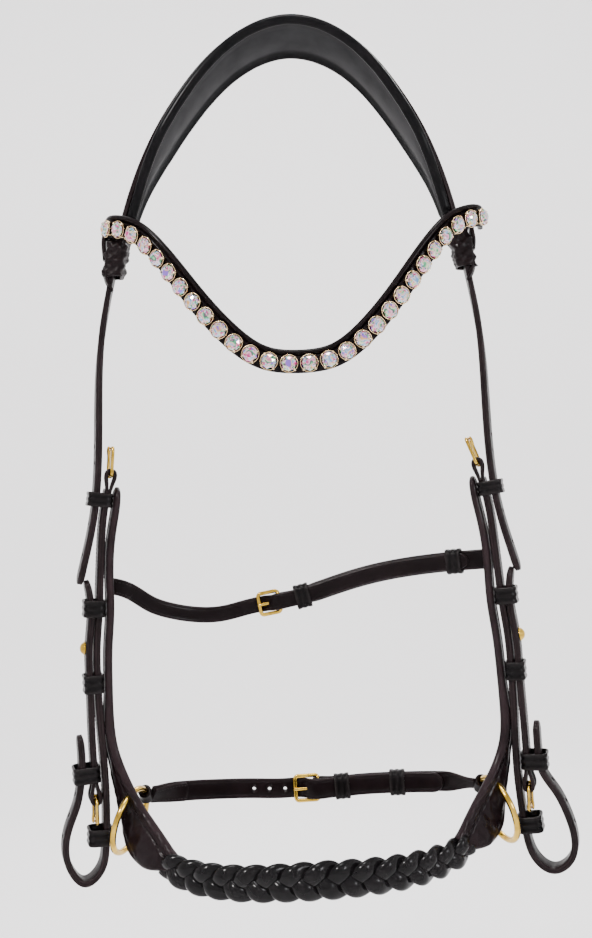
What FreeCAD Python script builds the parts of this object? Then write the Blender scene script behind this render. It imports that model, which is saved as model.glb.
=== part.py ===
import FreeCAD, Part
import math
import os
from FreeCAD import Vector

# Snaffle bridle with a crystal browband and a plaited noseband, hanging from its headpiece.
# Millimetres. +Z is up, -Y is the front (the horse's nose), +X and -X are the two cheeks.
# The origin is the middle of the headpiece's underside, where a hook or the poll carries it.
# Each cheek is laid out in its own frame: u is the distance out from the middle plane,
# w runs rearward along the straps' width, z is the height.

# ---- driving dimensions ---------------------------------------------------------------
strap_width = 16.0            # headpiece billets, cheekpieces and stud straps
strap_thickness = 4.0         # two layers of bridle leather
cheekpiece_thickness = 4.5

crown_width = 36.0            # outer strap over the poll
pad_crown_width = 56.0        # lining over the poll
pad_end_width = 22.0
pad_thickness = 7.8
crown_slant = 0.19            # the rear edge of the headpiece hangs lower than the front

cheek_yaw = 18.0              # each cheek's outer face turns this far towards the front
yaw_top = -150.0              # above this height the straps face straight out
yaw_full = -300.0             # below this height they are fully turned
pivot_u = 155.0               # the cheek turns about the vertical line this far out

lean_depth = 6.1              # the middle line bows sideways as the bridle hangs
lean_height = -296.0
lean_rate = 7e-5
nose_tilt = 0.035             # the noseband hangs a little lower on the left

loop_splay = {-1: -2.5, 1: 3.0}        # how far each bit loop stands out from the average
top_buckle_lean = {-1: 5.0, 1: 22.0}   # how far each top buckle leans inward, degrees

bar_radius = 1.5              # the bar that a buckle's tongue and chape turn on
chape_play = 0.4              # radial, leather on the bar
tongue_play = 0.08            # radial, tongue eye on the bar
rail_width = 3.0              # buckle frame, seen from the front
rail_thickness = 2.4
tongue_width = 2.6
tongue_slot = 4.4
leather_wrap = 3.1            # leather outside a buckle's bar, on the cheeks
thin_wrap = 2.5               # the same on the jaw and chin straps

ring_radius = 25.5            # noseband ring, to the middle of its wire
ring_wire = 2.5
ring_u = 146.5
ring_y = -5.0
ring_z = -616.0
ring_tilt = 15.0              # the ring's lower edge stands out, degrees
ring_twist = 20.0             # its front edge stands out too
ring_play = 0.5
ring_sleeve = 2.4             # leather of the chin strap's loop round the ring
sleeve_width = 11.0
sleeve_angle = 38.0           # place of that loop on the ring, from the rear towards the top

keeper_wall = 1.8
keeper_side_play = 1.2
back_keeper_play = 1.6        # the same across the layers of the jaw and chin straps
back_keeper_height = 12.5
hole_radius = 1.7
crystal_count = 28
crystal_radius = 6.15
setting_radius = 6.95

os.makedirs("parts", exist_ok=True)
SIDES = ((-1, "left"), (1, "right"))


# ---- places ---------------------------------------------------------------------------
def lean(z):
    """Sideways place of the middle line at height z."""
    return lean_rate * (z - lean_height) ** 2 - lean_depth


def ease(a):
    a = min(1.0, max(0.0, a))
    return a * a * (3.0 - 2.0 * a)


def yaw_at(z):
    return math.radians(cheek_yaw) * ease((yaw_top - z) / (yaw_top - yaw_full))


def outward(side, z):
    """Unit vector of a cheek's u direction."""
    return Vector(side * math.cos(yaw_at(z)), -math.sin(yaw_at(z)), 0)


def rearward(side, z):
    """Unit vector of a cheek's w direction."""
    return Vector(side * math.sin(yaw_at(z)), math.cos(yaw_at(z)), 0)


def cheek_offset(side, u, z):
    """Distance from the pivot line along the cheek's outward direction."""
    return u - pivot_u + side * lean(z) / math.cos(yaw_at(z))


def cheek_point(side, u, w, z):
    base = Vector(side * pivot_u, 0, z)
    return base + outward(side, z) * cheek_offset(side, u, z) + rearward(side, z) * w


def evenly(points, count):
    """Points at even spacing along the smooth curve through a few points."""
    curve = Part.BSplineCurve()
    curve.interpolate(points)
    return curve.discretize(Number=count)


def steps(values, count):
    """A smooth run of values through a few evenly spaced ones."""
    line = evenly([Vector(i, v, 0) for i, v in enumerate(values)], count)
    return [p.y for p in line]


# ---- building blocks ------------------------------------------------------------------
def tangents(centres):
    last = len(centres) - 1
    found = []
    for i in range(len(centres)):
        step = centres[min(i + 1, last)] - centres[max(i - 1, 0)]
        found.append(step.normalize())
    return found


def ribbon(centres, across, widths, thickness, offset=0.0, facets=False):
    """A strap through centres. across gives its width direction, offset moves it along its face normal."""
    sections = []
    for centre, along, wide, width in zip(centres, tangents(centres), across, widths):
        wide = (wide - along * wide.dot(along)).normalize()
        normal = along.cross(wide)
        middle = centre + normal * offset
        a = wide * (width / 2.0)
        b = normal * (thickness / 2.0)
        corners = [middle - a - b, middle + a - b, middle + a + b, middle - a + b]
        sections.append(Part.makePolygon(corners + [corners[0]]))
    return Part.makeLoft(sections, True, facets)


def rounded_plate(x0, x1, y0, y1, radius, thickness):
    """A flat plate with rounded corners, centred on z = 0."""
    box = Part.makeBox(x1 - x0, y1 - y0, thickness, Vector(x0, y0, -thickness / 2.0))
    uprights = [e for e in box.Edges if abs(e.tangentAt(e.FirstParameter).z) > 0.9]
    return box.makeFillet(radius, uprights)


def placed(shape, origin, x_dir, z_dir):
    """Moves a shape from its own frame to origin, with its x and z axes along the given directions."""
    z_axis = Vector(z_dir).normalize()
    x_axis = Vector(x_dir)
    x_axis = (x_axis - z_axis * x_axis.dot(z_axis)).normalize()
    y_axis = z_axis.cross(x_axis)
    out = shape.copy()
    out.Placement = FreeCAD.Placement(origin, FreeCAD.Rotation(x_axis, y_axis, z_axis, "ZXY"))
    return out


def keeper(inner_a, inner_b, height):
    """A leather loop round a strap: opening inner_a by inner_b, standing along z."""
    a = inner_a / 2.0 + keeper_wall
    b = inner_b / 2.0 + keeper_wall
    outer = rounded_plate(-a, a, -b, b, 2.4, height)
    hole = rounded_plate(-inner_a / 2.0, inner_a / 2.0, -inner_b / 2.0, inner_b / 2.0, 0.8, height + 2.0)
    return outer.cut(hole)


def buckle_frame(inner_width, inner_length):
    """A buckle from its bar at x = 0 to its end at +x, flat in z."""
    half = inner_width / 2.0
    end = inner_length + rail_width
    plate = rounded_plate(-rail_width / 2.0, end, -half - rail_width, half + rail_width, 2.2, rail_thickness)
    opening = rounded_plate(-9.0, inner_length, -half, half, 1.0, rail_thickness * 2.0)
    plate = plate.cut(opening)
    rims = [e for e in plate.Edges if abs(e.tangentAt(e.FirstParameter).z) < 0.1]
    plate = plate.makeFillet(0.7, rims)
    bar = Part.makeCylinder(bar_radius - 0.4, inner_width + rail_width, Vector(0, -half - rail_width / 2.0, 0),
                            Vector(0, 1, 0))
    barrel = Part.makeCylinder(bar_radius, inner_width, Vector(0, -half, 0), Vector(0, 1, 0))
    return plate.fuse([bar, barrel]).removeSplitter()


def buckle_tongue(inner_length):
    """A tongue whose eye turns on the bar at x = 0 and whose tip rests on the far end of the frame."""
    rest = rail_thickness / 2.0 + 0.15
    tip = inner_length + rail_width + 0.8
    half = tongue_width / 2.0
    profile = [Vector(0.5, -half, 2.9), Vector(tip - 2.0, -half, rest + 1.9), Vector(tip, -half, rest + 0.9),
               Vector(tip, -half, rest), Vector(inner_length - 1.0, -half, rest),
               Vector(inner_length * 0.5, -half, 0.9), Vector(2.2, -half, 0.4), Vector(0.5, -half, 1.0)]
    arm = Part.Face(Part.makePolygon(profile + [profile[0]])).extrude(Vector(0, tongue_width, 0))
    eye = Part.makeCylinder(2.9, tongue_width, Vector(0, -half, 0), Vector(0, 1, 0))
    hole = Part.makeCylinder(bar_radius + tongue_play, 8.0, Vector(0, -4.0, 0), Vector(0, 1, 0))
    return arm.fuse(eye).cut(hole).removeSplitter()


def chape(width, neck_length, neck_thickness, wrap):
    """Leather folded round a bar along y at the origin, closing to a flat neck towards -x."""
    half = width / 2.0
    radius = bar_radius + chape_play + wrap
    roll = Part.makeCylinder(radius, width, Vector(0, -half, 0), Vector(0, 1, 0))
    corners = [Vector(0, -half, -radius), Vector(-neck_length, -half, -neck_thickness / 2.0),
               Vector(-neck_length, -half, neck_thickness / 2.0), Vector(0, -half, radius)]
    neck = Part.Face(Part.makePolygon(corners + [corners[0]])).extrude(Vector(0, width, 0))
    return roll.fuse(neck)


def chape_clearance(width, wrap):
    """What a chape leaves free: the bar, and a slot where the tongue's eye turns."""
    start = Vector(0, -width / 2.0 - 1.0, 0)
    bar = Part.makeCylinder(bar_radius + chape_play, width + 2.0, start, Vector(0, 1, 0))
    reach = bar_radius + chape_play + wrap + 1.0
    slot = Part.makeBox(reach + 3.4, tongue_slot, 2.0 * reach, Vector(-3.4, -tongue_slot / 2.0, -reach))
    return bar.fuse(slot)


def punched(strap, places, direction, radius=hole_radius):
    """Cuts round strap holes through the leather at the given places."""
    drills = [Part.makeCylinder(radius, 16.0, p - direction * 8.0, direction) for p in places]
    return strap.cut(drills)


def save(node, shape):
    shape.exportStep("parts/" + node + ".step")


# ---- headpiece ------------------------------------------------------------------------
# Middle of the outer strap on one side, from the poll to the billet's tip: (u, z).
headpiece_path = [(40, -2), (86, -48), (120, -108), (133, -146), (142.7, -188), (151, -233), (155, -292),
                  (157.5, -341), (160.5, -366), (166, -392), (172, -414), (175.5, -427)]
headpiece_top = 10.0
billet_holes = [(156.4, -318), (156.9, -331), (163.1, -379), (169.3, -404)]


def headpiece_line():
    left = [cheek_point(-1, u, 0, z) for u, z in reversed(headpiece_path)]
    right = [cheek_point(1, u, 0, z) for u, z in headpiece_path]
    return left + [Vector(0, 0, headpiece_top)] + right


def headpiece_across(p):
    """Width direction: level on the poll, turned with the cheek lower down."""
    side = 1 if p.x > 0 else -1
    level = ease((-p.z - 20.0) / 130.0)
    return rearward(side, p.z) - Vector(0, 0, crown_slant * (1.0 - level))


def taper(z, top_width, low_width, top_z, low_z):
    return low_width + (top_width - low_width) * ease((z - low_z) / (top_z - low_z))


def make_headpiece():
    line = evenly(headpiece_line(), 61)
    widths = [taper(p.z, crown_width, strap_width, -60.0, -150.0) for p in line]
    for end in (0, -1):
        widths[end] = strap_width * 0.45
    for beside in (1, -2):
        widths[beside] = strap_width * 0.95
    strap = ribbon(line, [headpiece_across(p) for p in line], widths, strap_thickness)
    for side, name in SIDES:
        places = [cheek_point(side, u, 0, z) for u, z in billet_holes]
        strap = punched(strap, places, outward(side, -360.0))
    return strap


def make_headpiece_pad():
    line = [p for p in evenly(headpiece_line(), 81) if p.z > -143.0]
    widths = [taper(p.z, pad_crown_width, pad_end_width, -70.0, -143.0) for p in line]
    drop = strap_thickness / 2.0 + pad_thickness / 2.0 + 0.2
    return ribbon(line, [headpiece_across(p) for p in line], widths, pad_thickness, -drop)


# ---- browband -------------------------------------------------------------------------
# The row of crystals from the middle of the forehead to one temple.
browband_path = [(0, -55, -262.5), (27, -54, -258.5), (53, -51, -240), (82, -45, -205.5), (105.5, -37, -173.5),
                 (121, -30, -157.5), (136.5, -19, -149.5), (145.8, -8, -147), (149, 3, -147)]
browband_width = 18.0
browband_thickness = 4.6
browband_rise = 2.0           # the leather stands this much higher than the crystals
browband_loop_u = 138.3
browband_loop_z = -170.0
browband_loop_height = 29.0
browband_loop_inner = (19.0, 27.0)
browband_tab = (5.0, 9.0, 16.0)        # joins the band's end to its loop


def browband_line():
    right = [Vector(*p) for p in browband_path]
    left = [Vector(-p.x, p.y, p.z) for p in reversed(right[1:])]
    return left + right


def browband_frames(count):
    """Evenly spaced places on the crystal row: centre, width direction and face normal."""
    centres = evenly(browband_line(), count)
    frames = []
    for centre, along in zip(centres, tangents(centres)):
        front = Vector(centre.x, 0, 0) * (abs(centre.x) / 12000.0) + Vector(0, -1, 0)
        front = (front - along * front.dot(along)).normalize()
        up = front.cross(along).normalize()
        frames.append((centre, up, front))
    return frames


def browband_loop(side):
    """The folded end of the browband that the headpiece passes through."""
    a, b = browband_loop_inner
    z = browband_loop_z
    centre = cheek_point(side, browband_loop_u, 0, z)
    loop = keeper(a, b, browband_loop_height)
    return placed(loop, centre, Vector(1, 0, 0), Vector(0, 0, 1))


def make_browband():
    frames = browband_frames(45)
    centres = [c + up * browband_rise for c, up, front in frames]
    band = ribbon(centres, [up for c, up, front in frames], [browband_width] * len(frames), browband_thickness)
    tabs = []
    for side, name in SIDES:
        loop_centre = cheek_point(side, browband_loop_u, 0, browband_loop_z)
        wall = loop_centre.x + side * (browband_loop_inner[0] + keeper_wall) / 2.0
        tabs.append(Part.makeBox(*browband_tab, Vector(wall - browband_tab[0] / 2.0, -3.5, -162.0)))
        tabs.append(browband_loop(side))
    seats = on_browband(Part.makeCylinder(setting_radius + 0.4, 9.0, Vector(0, 0, -0.15)))
    return band.fuse(tabs).cut(seats)


def setting_cup():
    """A claw cup standing on z = 0."""
    cup = Part.makeCone(setting_radius - 0.9, setting_radius, 3.0)
    cup = cup.cut(Part.makeCone(setting_radius - 1.7, setting_radius - 0.6, 3.0, Vector(0, 0, 0.6)))
    claws = []
    for turn in range(4):
        claw = Part.makeBox(0.9, 1.6, 4.6, Vector(setting_radius - 0.75, -0.8, 0))
        claw.rotate(Vector(0, 0, 0), Vector(0, 0, 1), 45 + 90 * turn)
        claws.append(claw)
    return cup.fuse(claws)


def crystal_stone():
    """A cut stone: table, crown, thin girdle and pavilion."""
    crown = Part.makeCone(crystal_radius, crystal_radius * 0.5, 2.6, Vector(0, 0, 3.9))
    girdle = Part.makeCylinder(crystal_radius, 0.5, Vector(0, 0, 3.4))
    pavilion = Part.makeCone(crystal_radius * 0.35, crystal_radius * 0.8, 2.2, Vector(0, 0, 1.2))
    return crown.fuse([girdle, pavilion])


def on_browband(shape):
    frames = browband_frames(2 * crystal_count + 3)[2:-2:2]
    stand = browband_thickness / 2.0 + 0.25
    pieces = [placed(shape, c + front * stand, front.cross(up), front) for c, up, front in frames]
    return Part.makeCompound(pieces)


# ---- cheeks ---------------------------------------------------------------------------
top_bar = (147.5, -341.0)     # (u, z) of the top buckle's bar
low_bar = (173.5, -597.0)     # (u, z) of the lower buckle's bar
top_buckle_size = (17.0, 19.5)
low_buckle_size = (17.0, 16.5)
top_foot = (149.6, -352.5)    # where the folded leather becomes the flat cheekpiece
low_foot = (173.3, -584.0)

stud_strap_path = [(170.0, -424), (167.8, -440), (168.4, -458), (171.0, -478), (171.9, -506), (172.8, -542),
                   (173.5, -588)]
stud_z = -478.0
noseband_width = 18.0


def cheekpiece_path(side):
    splay = loop_splay[side]
    return [(149.2, -350), (151.6, -360), (154.0, -371), (157.6, -402), (159.6, -426), (161.6, -450), (164.8, -478),
            (165.8, -506), (165.8, -534), (165.2, -562), (165.2, -590), (166.6, -616), (168.8, -637),
            (174.5, -654), (187.0, -662.0), (199.0 + splay, -652), (202.5 + splay, -635), (198.5 + splay, -617),
            (191.0 + splay, -600), (184.4, -584), (182.4, -570), (182.4, -546)]


def cheek_strap(side, path, width, thickness, tip_at):
    """A strap that bends only in the cheek's own upright plane, with one rounded tip."""
    count = 3 * len(path)
    line = evenly([Vector(cheek_offset(side, u, z), 0, z) for u, z in path], count)
    edges = []
    for face_side in (-1, 1):
        shifts = [Vector(along.z, 0, -along.x) * (face_side * thickness / 2.0) for along in tangents(line)]
        curve = Part.BSplineCurve()
        curve.interpolate([p + shift for p, shift in zip(line, shifts)])
        edges.append(curve.toShape())
    starts = [e.valueAt(e.FirstParameter) for e in edges]
    ends = [e.valueAt(e.LastParameter) for e in edges]
    outline = Part.Wire(Part.__sortEdges__(edges + [Part.makeLine(*starts), Part.makeLine(*ends)]))
    strap = Part.Face(outline).extrude(Vector(0, width, 0))
    strap.translate(Vector(0, -width / 2.0, 0))
    tip = line[tip_at]
    near = [e for e in strap.Edges if (e.CenterOfMass - tip).Length < width * 0.55]
    corners = [e for e in near if abs(e.Length - thickness) < 0.2]
    strap = strap.makeFillet(width * 0.42, corners)
    return placed(strap, Vector(side * pivot_u, 0, 0), outward(side, -400.0), Vector(0, 0, 1))


def bar_place(side, bar, downward):
    """Origin, x axis (from the bar to the far end) and z axis (outward) of an upright or hanging buckle."""
    u, z = bar
    return cheek_point(side, u, 0, z), Vector(0, 0, -1 if downward else 1), outward(side, z)


def leaned(degrees, x_dir, z_dir):
    """Turns an upright buckle's axes about its bar, its far end going inward."""
    turn = math.radians(degrees)
    return x_dir * math.cos(turn) - z_dir * math.sin(turn), z_dir * math.cos(turn) + x_dir * math.sin(turn)


def folded_round(side, strap, bar, foot, thickness, downward):
    """Joins a strap to the chape round its buckle's bar."""
    origin, x_dir, z_dir = bar_place(side, bar, downward)
    neck = origin - cheek_point(side, foot[0], 0, foot[1])
    end = placed(chape(strap_width, neck.Length, thickness, leather_wrap), origin, neck, z_dir)
    free = placed(chape_clearance(strap_width, leather_wrap), origin, x_dir, z_dir)
    return strap.fuse(end).cut(free)


bit_strap_holes = [(187.0, -592), (194.0, -608), (200.0, -624)]


def make_cheekpiece(side):
    strap = cheek_strap(side, cheekpiece_path(side), strap_width, cheekpiece_thickness, -1)
    strap = folded_round(side, strap, top_bar, top_foot, cheekpiece_thickness, False)
    splay = loop_splay[side]
    places = [cheek_point(side, u + splay * 0.8, 0, z) for u, z in bit_strap_holes]
    return punched(strap, places, outward(side, -600.0))


def make_stud_strap(side):
    strap = cheek_strap(side, stud_strap_path, strap_width, strap_thickness, 0)
    strap = folded_round(side, strap, low_bar, low_foot, strap_thickness, True)
    centre, out = stud_place(side)
    return punched(strap, [centre], out)


def stud_place(side):
    """Where the stud sits on its leaning strap, and the strap's outward normal there."""
    line = evenly([cheek_point(side, u, 0, z) for u, z in stud_strap_path], 90)
    nearest = min(range(len(line)), key=lambda i: abs(line[i].z - stud_z))
    normal = tangents(line)[nearest].cross(rearward(side, stud_z)) * side
    return line[nearest], normal.normalize()


def make_stud(side):
    """A dome on the strap's outer face, with a shank through the strap and a washer behind."""
    centre, out = stud_place(side)
    face = strap_thickness / 2.0 + 0.35
    dome = Part.makeSphere(7.0, Vector(0, 0, -3.0)).common(Part.makeCylinder(5.5, 8.0, Vector(0, 0, 0.6)))
    base = Part.makeCylinder(5.5, 0.6)
    head = placed(dome.fuse(base), centre + out * face, Vector(0, 0, 1), out)
    shank = Part.makeCylinder(1.5, face * 2.0, centre - out * face, out)
    washer = Part.makeCylinder(3.6, 0.7, centre - out * (face + 0.7), out)
    return head.fuse([shank, washer])


# Each keeper on a cheek: u of its inner and outer leather, z, height, and slope in degrees.
cheek_keepers = {"top_keeper": (148.7, 164.4, -360.5, 11.5, 8.0),
                 "upper_cheek_keeper": (158.1, 171.7, -446.5, 13.5, 3.5),
                 "lower_cheek_keeper": (163.0, 174.8, -506.0, 14.5, 0.5),
                 "bit_upper_keeper": (170.6, 187.6, -577.0, 13.0, 0.0),
                 "bit_lower_keeper": (164.3, 179.8, -627.0, 13.0, 5.0)}


def cheek_keeper(side, u_in, u_out, z, height, slope):
    """A keeper round the layers from u_in to u_out, leaning outward going down by slope."""
    loop = keeper(u_out - u_in, strap_width + keeper_side_play, height)
    turn = math.radians(slope) - side * math.atan(2.0 * lean_rate * (z - lean_height))
    out = outward(side, z)
    up = Vector(0, 0, 1) * math.cos(turn) - out * math.sin(turn)
    return placed(loop, cheek_point(side, (u_in + u_out) / 2.0, 0, z), out, up)


# ---- noseband -------------------------------------------------------------------------
def noseband_stations(side):
    """Centre, direction towards the front edge, width and thickness, down one side piece."""
    def turned(z):
        return rearward(side, z) * -1.0

    upright = [(142.0, -351, 11.0, 4.8), (142.8, -357, 17.0, 5.4), (144.0, -366, 18.0, 6.0), (147.4, -383, 18.0, 6.2),
               (150.4, -402, 18.0, 6.2), (151.9, -426, 18.0, 6.2), (152.5, -448, 18.0, 6.2), (155.6, -478, 18.0, 6.2),
               (157.2, -506, 18.0, 6.2), (158.0, -534, 19.0, 6.2)]
    stations = [(cheek_point(side, u, 0, z), turned(z), w, t) for u, z, w, t in upright]
    leaf = [((156.6, -2.0, -558), (-0.34, -0.93, 0.10), 21.0, 6.4),
            ((150.5, -8.0, -582), (-0.50, -0.78, 0.38), 24.0, 6.6),
            ((140.5, -18.0, -605), (-0.60, -0.52, 0.61), 29.0, 7.0),
            ((129.0, -29.5, -622), (-0.62, -0.34, 0.71), 31.0, 7.4),
            ((118.0, -39.5, -633), (-0.52, -0.22, 0.83), 28.0, 8.0),
            ((110.0, -45.8, -637.5), (-0.30, -0.12, 0.95), 23.0, 9.0)]
    for (x, y, z), (ax, ay, az), w, t in leaf:
        z += nose_tilt * side * x * ease((-z - 560.0) / 60.0)
        stations.append((Vector(side * x + lean(z), y, z), Vector(side * ax, ay, az), w, t))
    return stations


def ring_place(side):
    """Centre of a noseband ring, its axis, and its own upward and rearward directions."""
    tilt = math.radians(ring_tilt)
    twist = math.radians(ring_twist)
    centre = Vector(side * ring_u + lean(ring_z), ring_y, ring_z)
    level = Vector(side * math.cos(twist), math.sin(twist), 0)
    rear = Vector(-side * math.sin(twist), math.cos(twist), 0)
    axis = level * math.cos(tilt) + Vector(0, 0, math.sin(tilt))
    up = Vector(0, 0, math.cos(tilt)) - level * math.sin(tilt)
    return centre, axis, up, rear


def make_noseband_side(side):
    stations = noseband_stations(side)
    sections = []
    centres = [s[0] for s in stations]
    for (centre, wide, width, thickness), along in zip(stations, tangents(centres)):
        wide = (wide - along * wide.dot(along)).normalize()
        normal = along.cross(wide)
        a = wide * (width / 2.0)
        b = normal * (thickness / 2.0)
        corners = [centre - a - b, centre + a - b, centre + a + b, centre - a + b]
        sections.append(Part.makePolygon(corners + [corners[0]]))
    strap = Part.makeLoft(sections, True, False)
    return strap.cut(ring_torus(side, ring_play))


def ring_torus(side, play):
    centre, axis = ring_place(side)[:2]
    return Part.makeTorus(ring_radius, ring_wire + play, centre, axis)


# Middle of the plait from one side to the other, its height and depth.
plait_path = [(108.0, -47.5, -638.0), (88.0, -61.5, -640.0), (55.0, -77.0, -640.0), (0.0, -85.5, -638.5)]
plait_height = (20.0, 25.0, 27.0, 25.0, 20.0)
plait_depth = (10.0, 15.0, 16.0, 15.0, 10.0)


def plait_line():
    right = [Vector(*p) for p in plait_path]
    left = [Vector(-p.x, p.y, p.z) for p in right[:-1]]
    points = left + list(reversed(right))
    return [Vector(p.x + lean(p.z), p.y, p.z + nose_tilt * p.x) for p in points]


def make_plait():
    count = 17
    centres = evenly(plait_line(), count)
    sections = []
    for centre, along, height, depth in zip(centres, tangents(centres), steps(plait_height, count),
                                            steps(plait_depth, count)):
        front = Vector(0, 0, 1).cross(along).normalize()
        up = along.cross(front)
        curve = Part.Ellipse(centre + up * (height / 2.0), centre + front * (depth / 2.0), centre)
        sections.append(Part.Wire(curve.toShape()))
    return Part.makeLoft(sections, True, False)


# ---- jaw strap and chin strap ---------------------------------------------------------
def facing(along):
    """The direction that a back strap's outer face looks in, towards the front of the bridle."""
    return along.cross(Vector(0, 0, 1)).normalize()


class BuckledStrap:
    """A strap across the back: a long billet from the left goes through the buckle on the right part."""

    def __init__(self, bar, rise, size, billet_width, width, thickness):
        self.bar = Vector(*bar)
        turn = math.radians(rise)
        self.along = Vector(math.cos(turn), 0, math.sin(turn))
        self.front = Vector(0, -1, 0)
        self.size = size
        self.billet_width = billet_width
        self.width = width
        self.thickness = thickness
        self.lift = thickness + 0.8

    def at(self, x, n):
        """A point x to the left of the bar and n towards the front."""
        return self.bar - self.along * x + self.front * n

    def put(self, shape):
        return placed(shape, self.bar, self.along * -1.0, self.front)

    def right_line(self, points):
        start = [self.at(-x, 0) for x in (9.0, 16.0)]
        return evenly(start + points, 36)

    def billet_line(self, left_points, right_points, tip_x):
        """From the left, behind the frame's end, through the frame, and over the chape to the tip."""
        length = self.size[1]
        half = self.thickness / 2.0
        under = -rail_thickness / 2.0 - half - 0.6
        over = bar_radius + chape_play + thin_wrap + half + 0.4
        crossing = [self.at(length + 9.0, under), self.at(length + 0.5, under - 0.1),
                    self.at(length / 2.0 + 3.0, under + 2.1), self.at(5.0, over - 1.8), self.at(0.0, over),
                    self.at(-7.0, over - 0.9), self.at(-12.5, self.lift + 0.3)]
        right = self.right_line(right_points)
        lifted = [p + facing(along) * self.lift for p, along in zip(right, tangents(right))]
        lifted = [p for p in lifted[2::3] if p.x < tip_x]
        return evenly(left_points + crossing + lifted, 90)

    def billet(self, line, across):
        widths = [self.billet_width] * len(line)
        widths[-1] = self.billet_width * 0.5
        widths[-2] = self.billet_width * 0.96
        strap = ribbon(line, across, widths, self.thickness, 0.0, True)
        half = tongue_width / 2.0 + 0.5
        window = rounded_plate(3.0, self.size[1] - 1.0, -half, half, 1.2, 18.0)
        return strap.cut(self.put(window))

    def right_part(self, points, across_end, reach):
        line = self.right_line(points)
        across = [blended_across(p, line[-1], across_end, reach) for p in line]
        widths = [taper(p.x, self.width, self.billet_width, self.bar.x + 34.0, self.bar.x + 12.0) for p in line]
        if reach:
            widths = [min(w, end_width(p, line[-1], w)) for p, w in zip(line, widths)]
        strap = ribbon(line, across, widths, self.thickness, 0.0, True)
        end = chape(self.billet_width, 12.0, self.thickness, thin_wrap)
        return strap.fuse(self.put(end)).cut(self.put(chape_clearance(self.billet_width, thin_wrap)))

    def keeper(self, points, x):
        """A keeper round both layers, where the right part is x away from the bar."""
        line = self.right_line(points)
        near = min(range(len(line)), key=lambda i: abs(line[i].x - self.bar.x - x))
        along = tangents(line)[near]
        front = facing(along)
        depth = self.thickness + self.lift + back_keeper_play
        loop = keeper(depth, self.width + keeper_side_play, back_keeper_height)
        return placed(loop, line[near] + front * (self.lift / 2.0), front, along)


def blended_across(p, end, end_across, reach):
    """Upright width direction, turning to end_across near the end."""
    if not reach:
        return Vector(0, 0, 1)
    share = ease(1.0 - (p - end).Length / reach)
    return Vector(0, 0, 1) * (1.0 - share) + end_across * share


def end_width(p, end, width):
    """A strap narrows towards the loop round its ring."""
    return sleeve_width + (width - sleeve_width) * ease(((p - end).Length - 3.0) / 22.0)


def chin_loop(side):
    """Middle of the chin strap's loop on the ring's wire, the wire's direction there, and the loop itself."""
    centre, axis, up, rear = ring_place(side)
    turn = math.radians(sleeve_angle)
    radial = rear * math.cos(turn) + up * math.sin(turn)
    wire = up * math.cos(turn) - rear * math.sin(turn)
    middle = centre + radial * ring_radius
    sweep = math.degrees(sleeve_width / ring_radius)
    outer = Part.Wire(Part.makeCircle(ring_wire + ring_play + ring_sleeve, middle, wire))
    inner = Part.Wire(Part.makeCircle(ring_wire + ring_play, middle, wire))
    face = Part.Face(outer).cut(Part.Face(inner))
    face.rotate(centre, axis, -sweep / 2.0)
    return middle, wire, face.revolve(centre, axis, sweep)


jaw_rise = 10.0
jaw = BuckledStrap((-22.5, 51.5, -452.0), jaw_rise, (15.0, 15.5), 13.2, 16.0, 3.0)
jaw_left = [(-160, 12.4, -430.5), (-150, 13.6, -431.5), (-140, 17.5, -434.5), (-128, 25, -447), (-113, 33, -455),
            (-97, 40, -459.3), (-72, 48, -461)]
jaw_right = [(20, 49.5, -441.5), (52, 44.5, -432), (84, 36, -425.5), (119, 24, -421), (140, 16, -419.2),
             (154, 12.2, -418.3)]
jaw_tip_x = 136.0
jaw_fixed_keeper_x = 20.0
jaw_running_keeper_x = 145.5

chin = BuckledStrap((5.5, 39.0, -607.0), 2.0, (17.5, 17.5), 16.5, 16.5, 3.0)
chin_left = [(-124, 19.5, -601.8), (-112, 25, -602.9), (-96, 31, -604), (-76, 36, -605.2), (-48, 39.5, -606.5)]
chin_right = [(38, 38, -605), (72, 34.5, -603.2), (102, 27.5, -601.7), (122, 20, -601)]
chin_tip_x = 112.0
chin_fixed_keeper_x = 20.0
chin_running_keeper_x = 66.0


def make_jaw():
    left = [Vector(*p) for p in jaw_left]
    right = [Vector(*p) for p in jaw_right]
    line = jaw.billet_line(left, right, jaw_tip_x)
    save("jaw_strap_billet", jaw.billet(line, [Vector(0, 0, 1)] * len(line)))
    save("jaw_strap_chape", jaw.right_part(right, None, 0))
    save("jaw_buckle_frame", jaw.put(buckle_frame(*jaw.size)))
    save("jaw_buckle_tongue", jaw.put(buckle_tongue(jaw.size[1])))
    save("jaw_fixed_keeper", jaw.keeper(right, jaw_fixed_keeper_x))
    save("jaw_running_keeper", jaw.keeper(right, jaw_running_keeper_x))


def ring_end(middle, towards):
    """Where a strap leaves its loop: inside the loop's wall, on the side that the strap goes to."""
    return middle + (towards - middle).normalize() * (ring_wire + ring_play + ring_sleeve * 0.5)


def make_chin():
    left = [Vector(*p) for p in chin_left]
    right = [Vector(*p) for p in chin_right]
    left_middle, left_wire, left_sleeve = chin_loop(-1)
    right_middle, right_wire, right_sleeve = chin_loop(1)
    left = [ring_end(left_middle, left[0])] + left
    right = right + [ring_end(right_middle, right[-1])]
    line = chin.billet_line(left, right, chin_tip_x)
    across = [blended_across(p, line[0], left_wire, 28.0) for p in line]
    billet = chin.billet(line, across).fuse(left_sleeve)
    right_part = chin.right_part(right, right_wire, 28.0).fuse(right_sleeve)
    save("chin_strap_billet", billet.cut(ring_torus(-1, ring_play)))
    save("chin_strap_chape", right_part.cut(ring_torus(1, ring_play)))
    save("chin_buckle_frame", chin.put(buckle_frame(*chin.size)))
    save("chin_buckle_tongue", chin.put(buckle_tongue(chin.size[1])))
    save("chin_fixed_keeper", chin.keeper(right, chin_fixed_keeper_x))
    save("chin_running_keeper", chin.keeper(right, chin_running_keeper_x))


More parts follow.
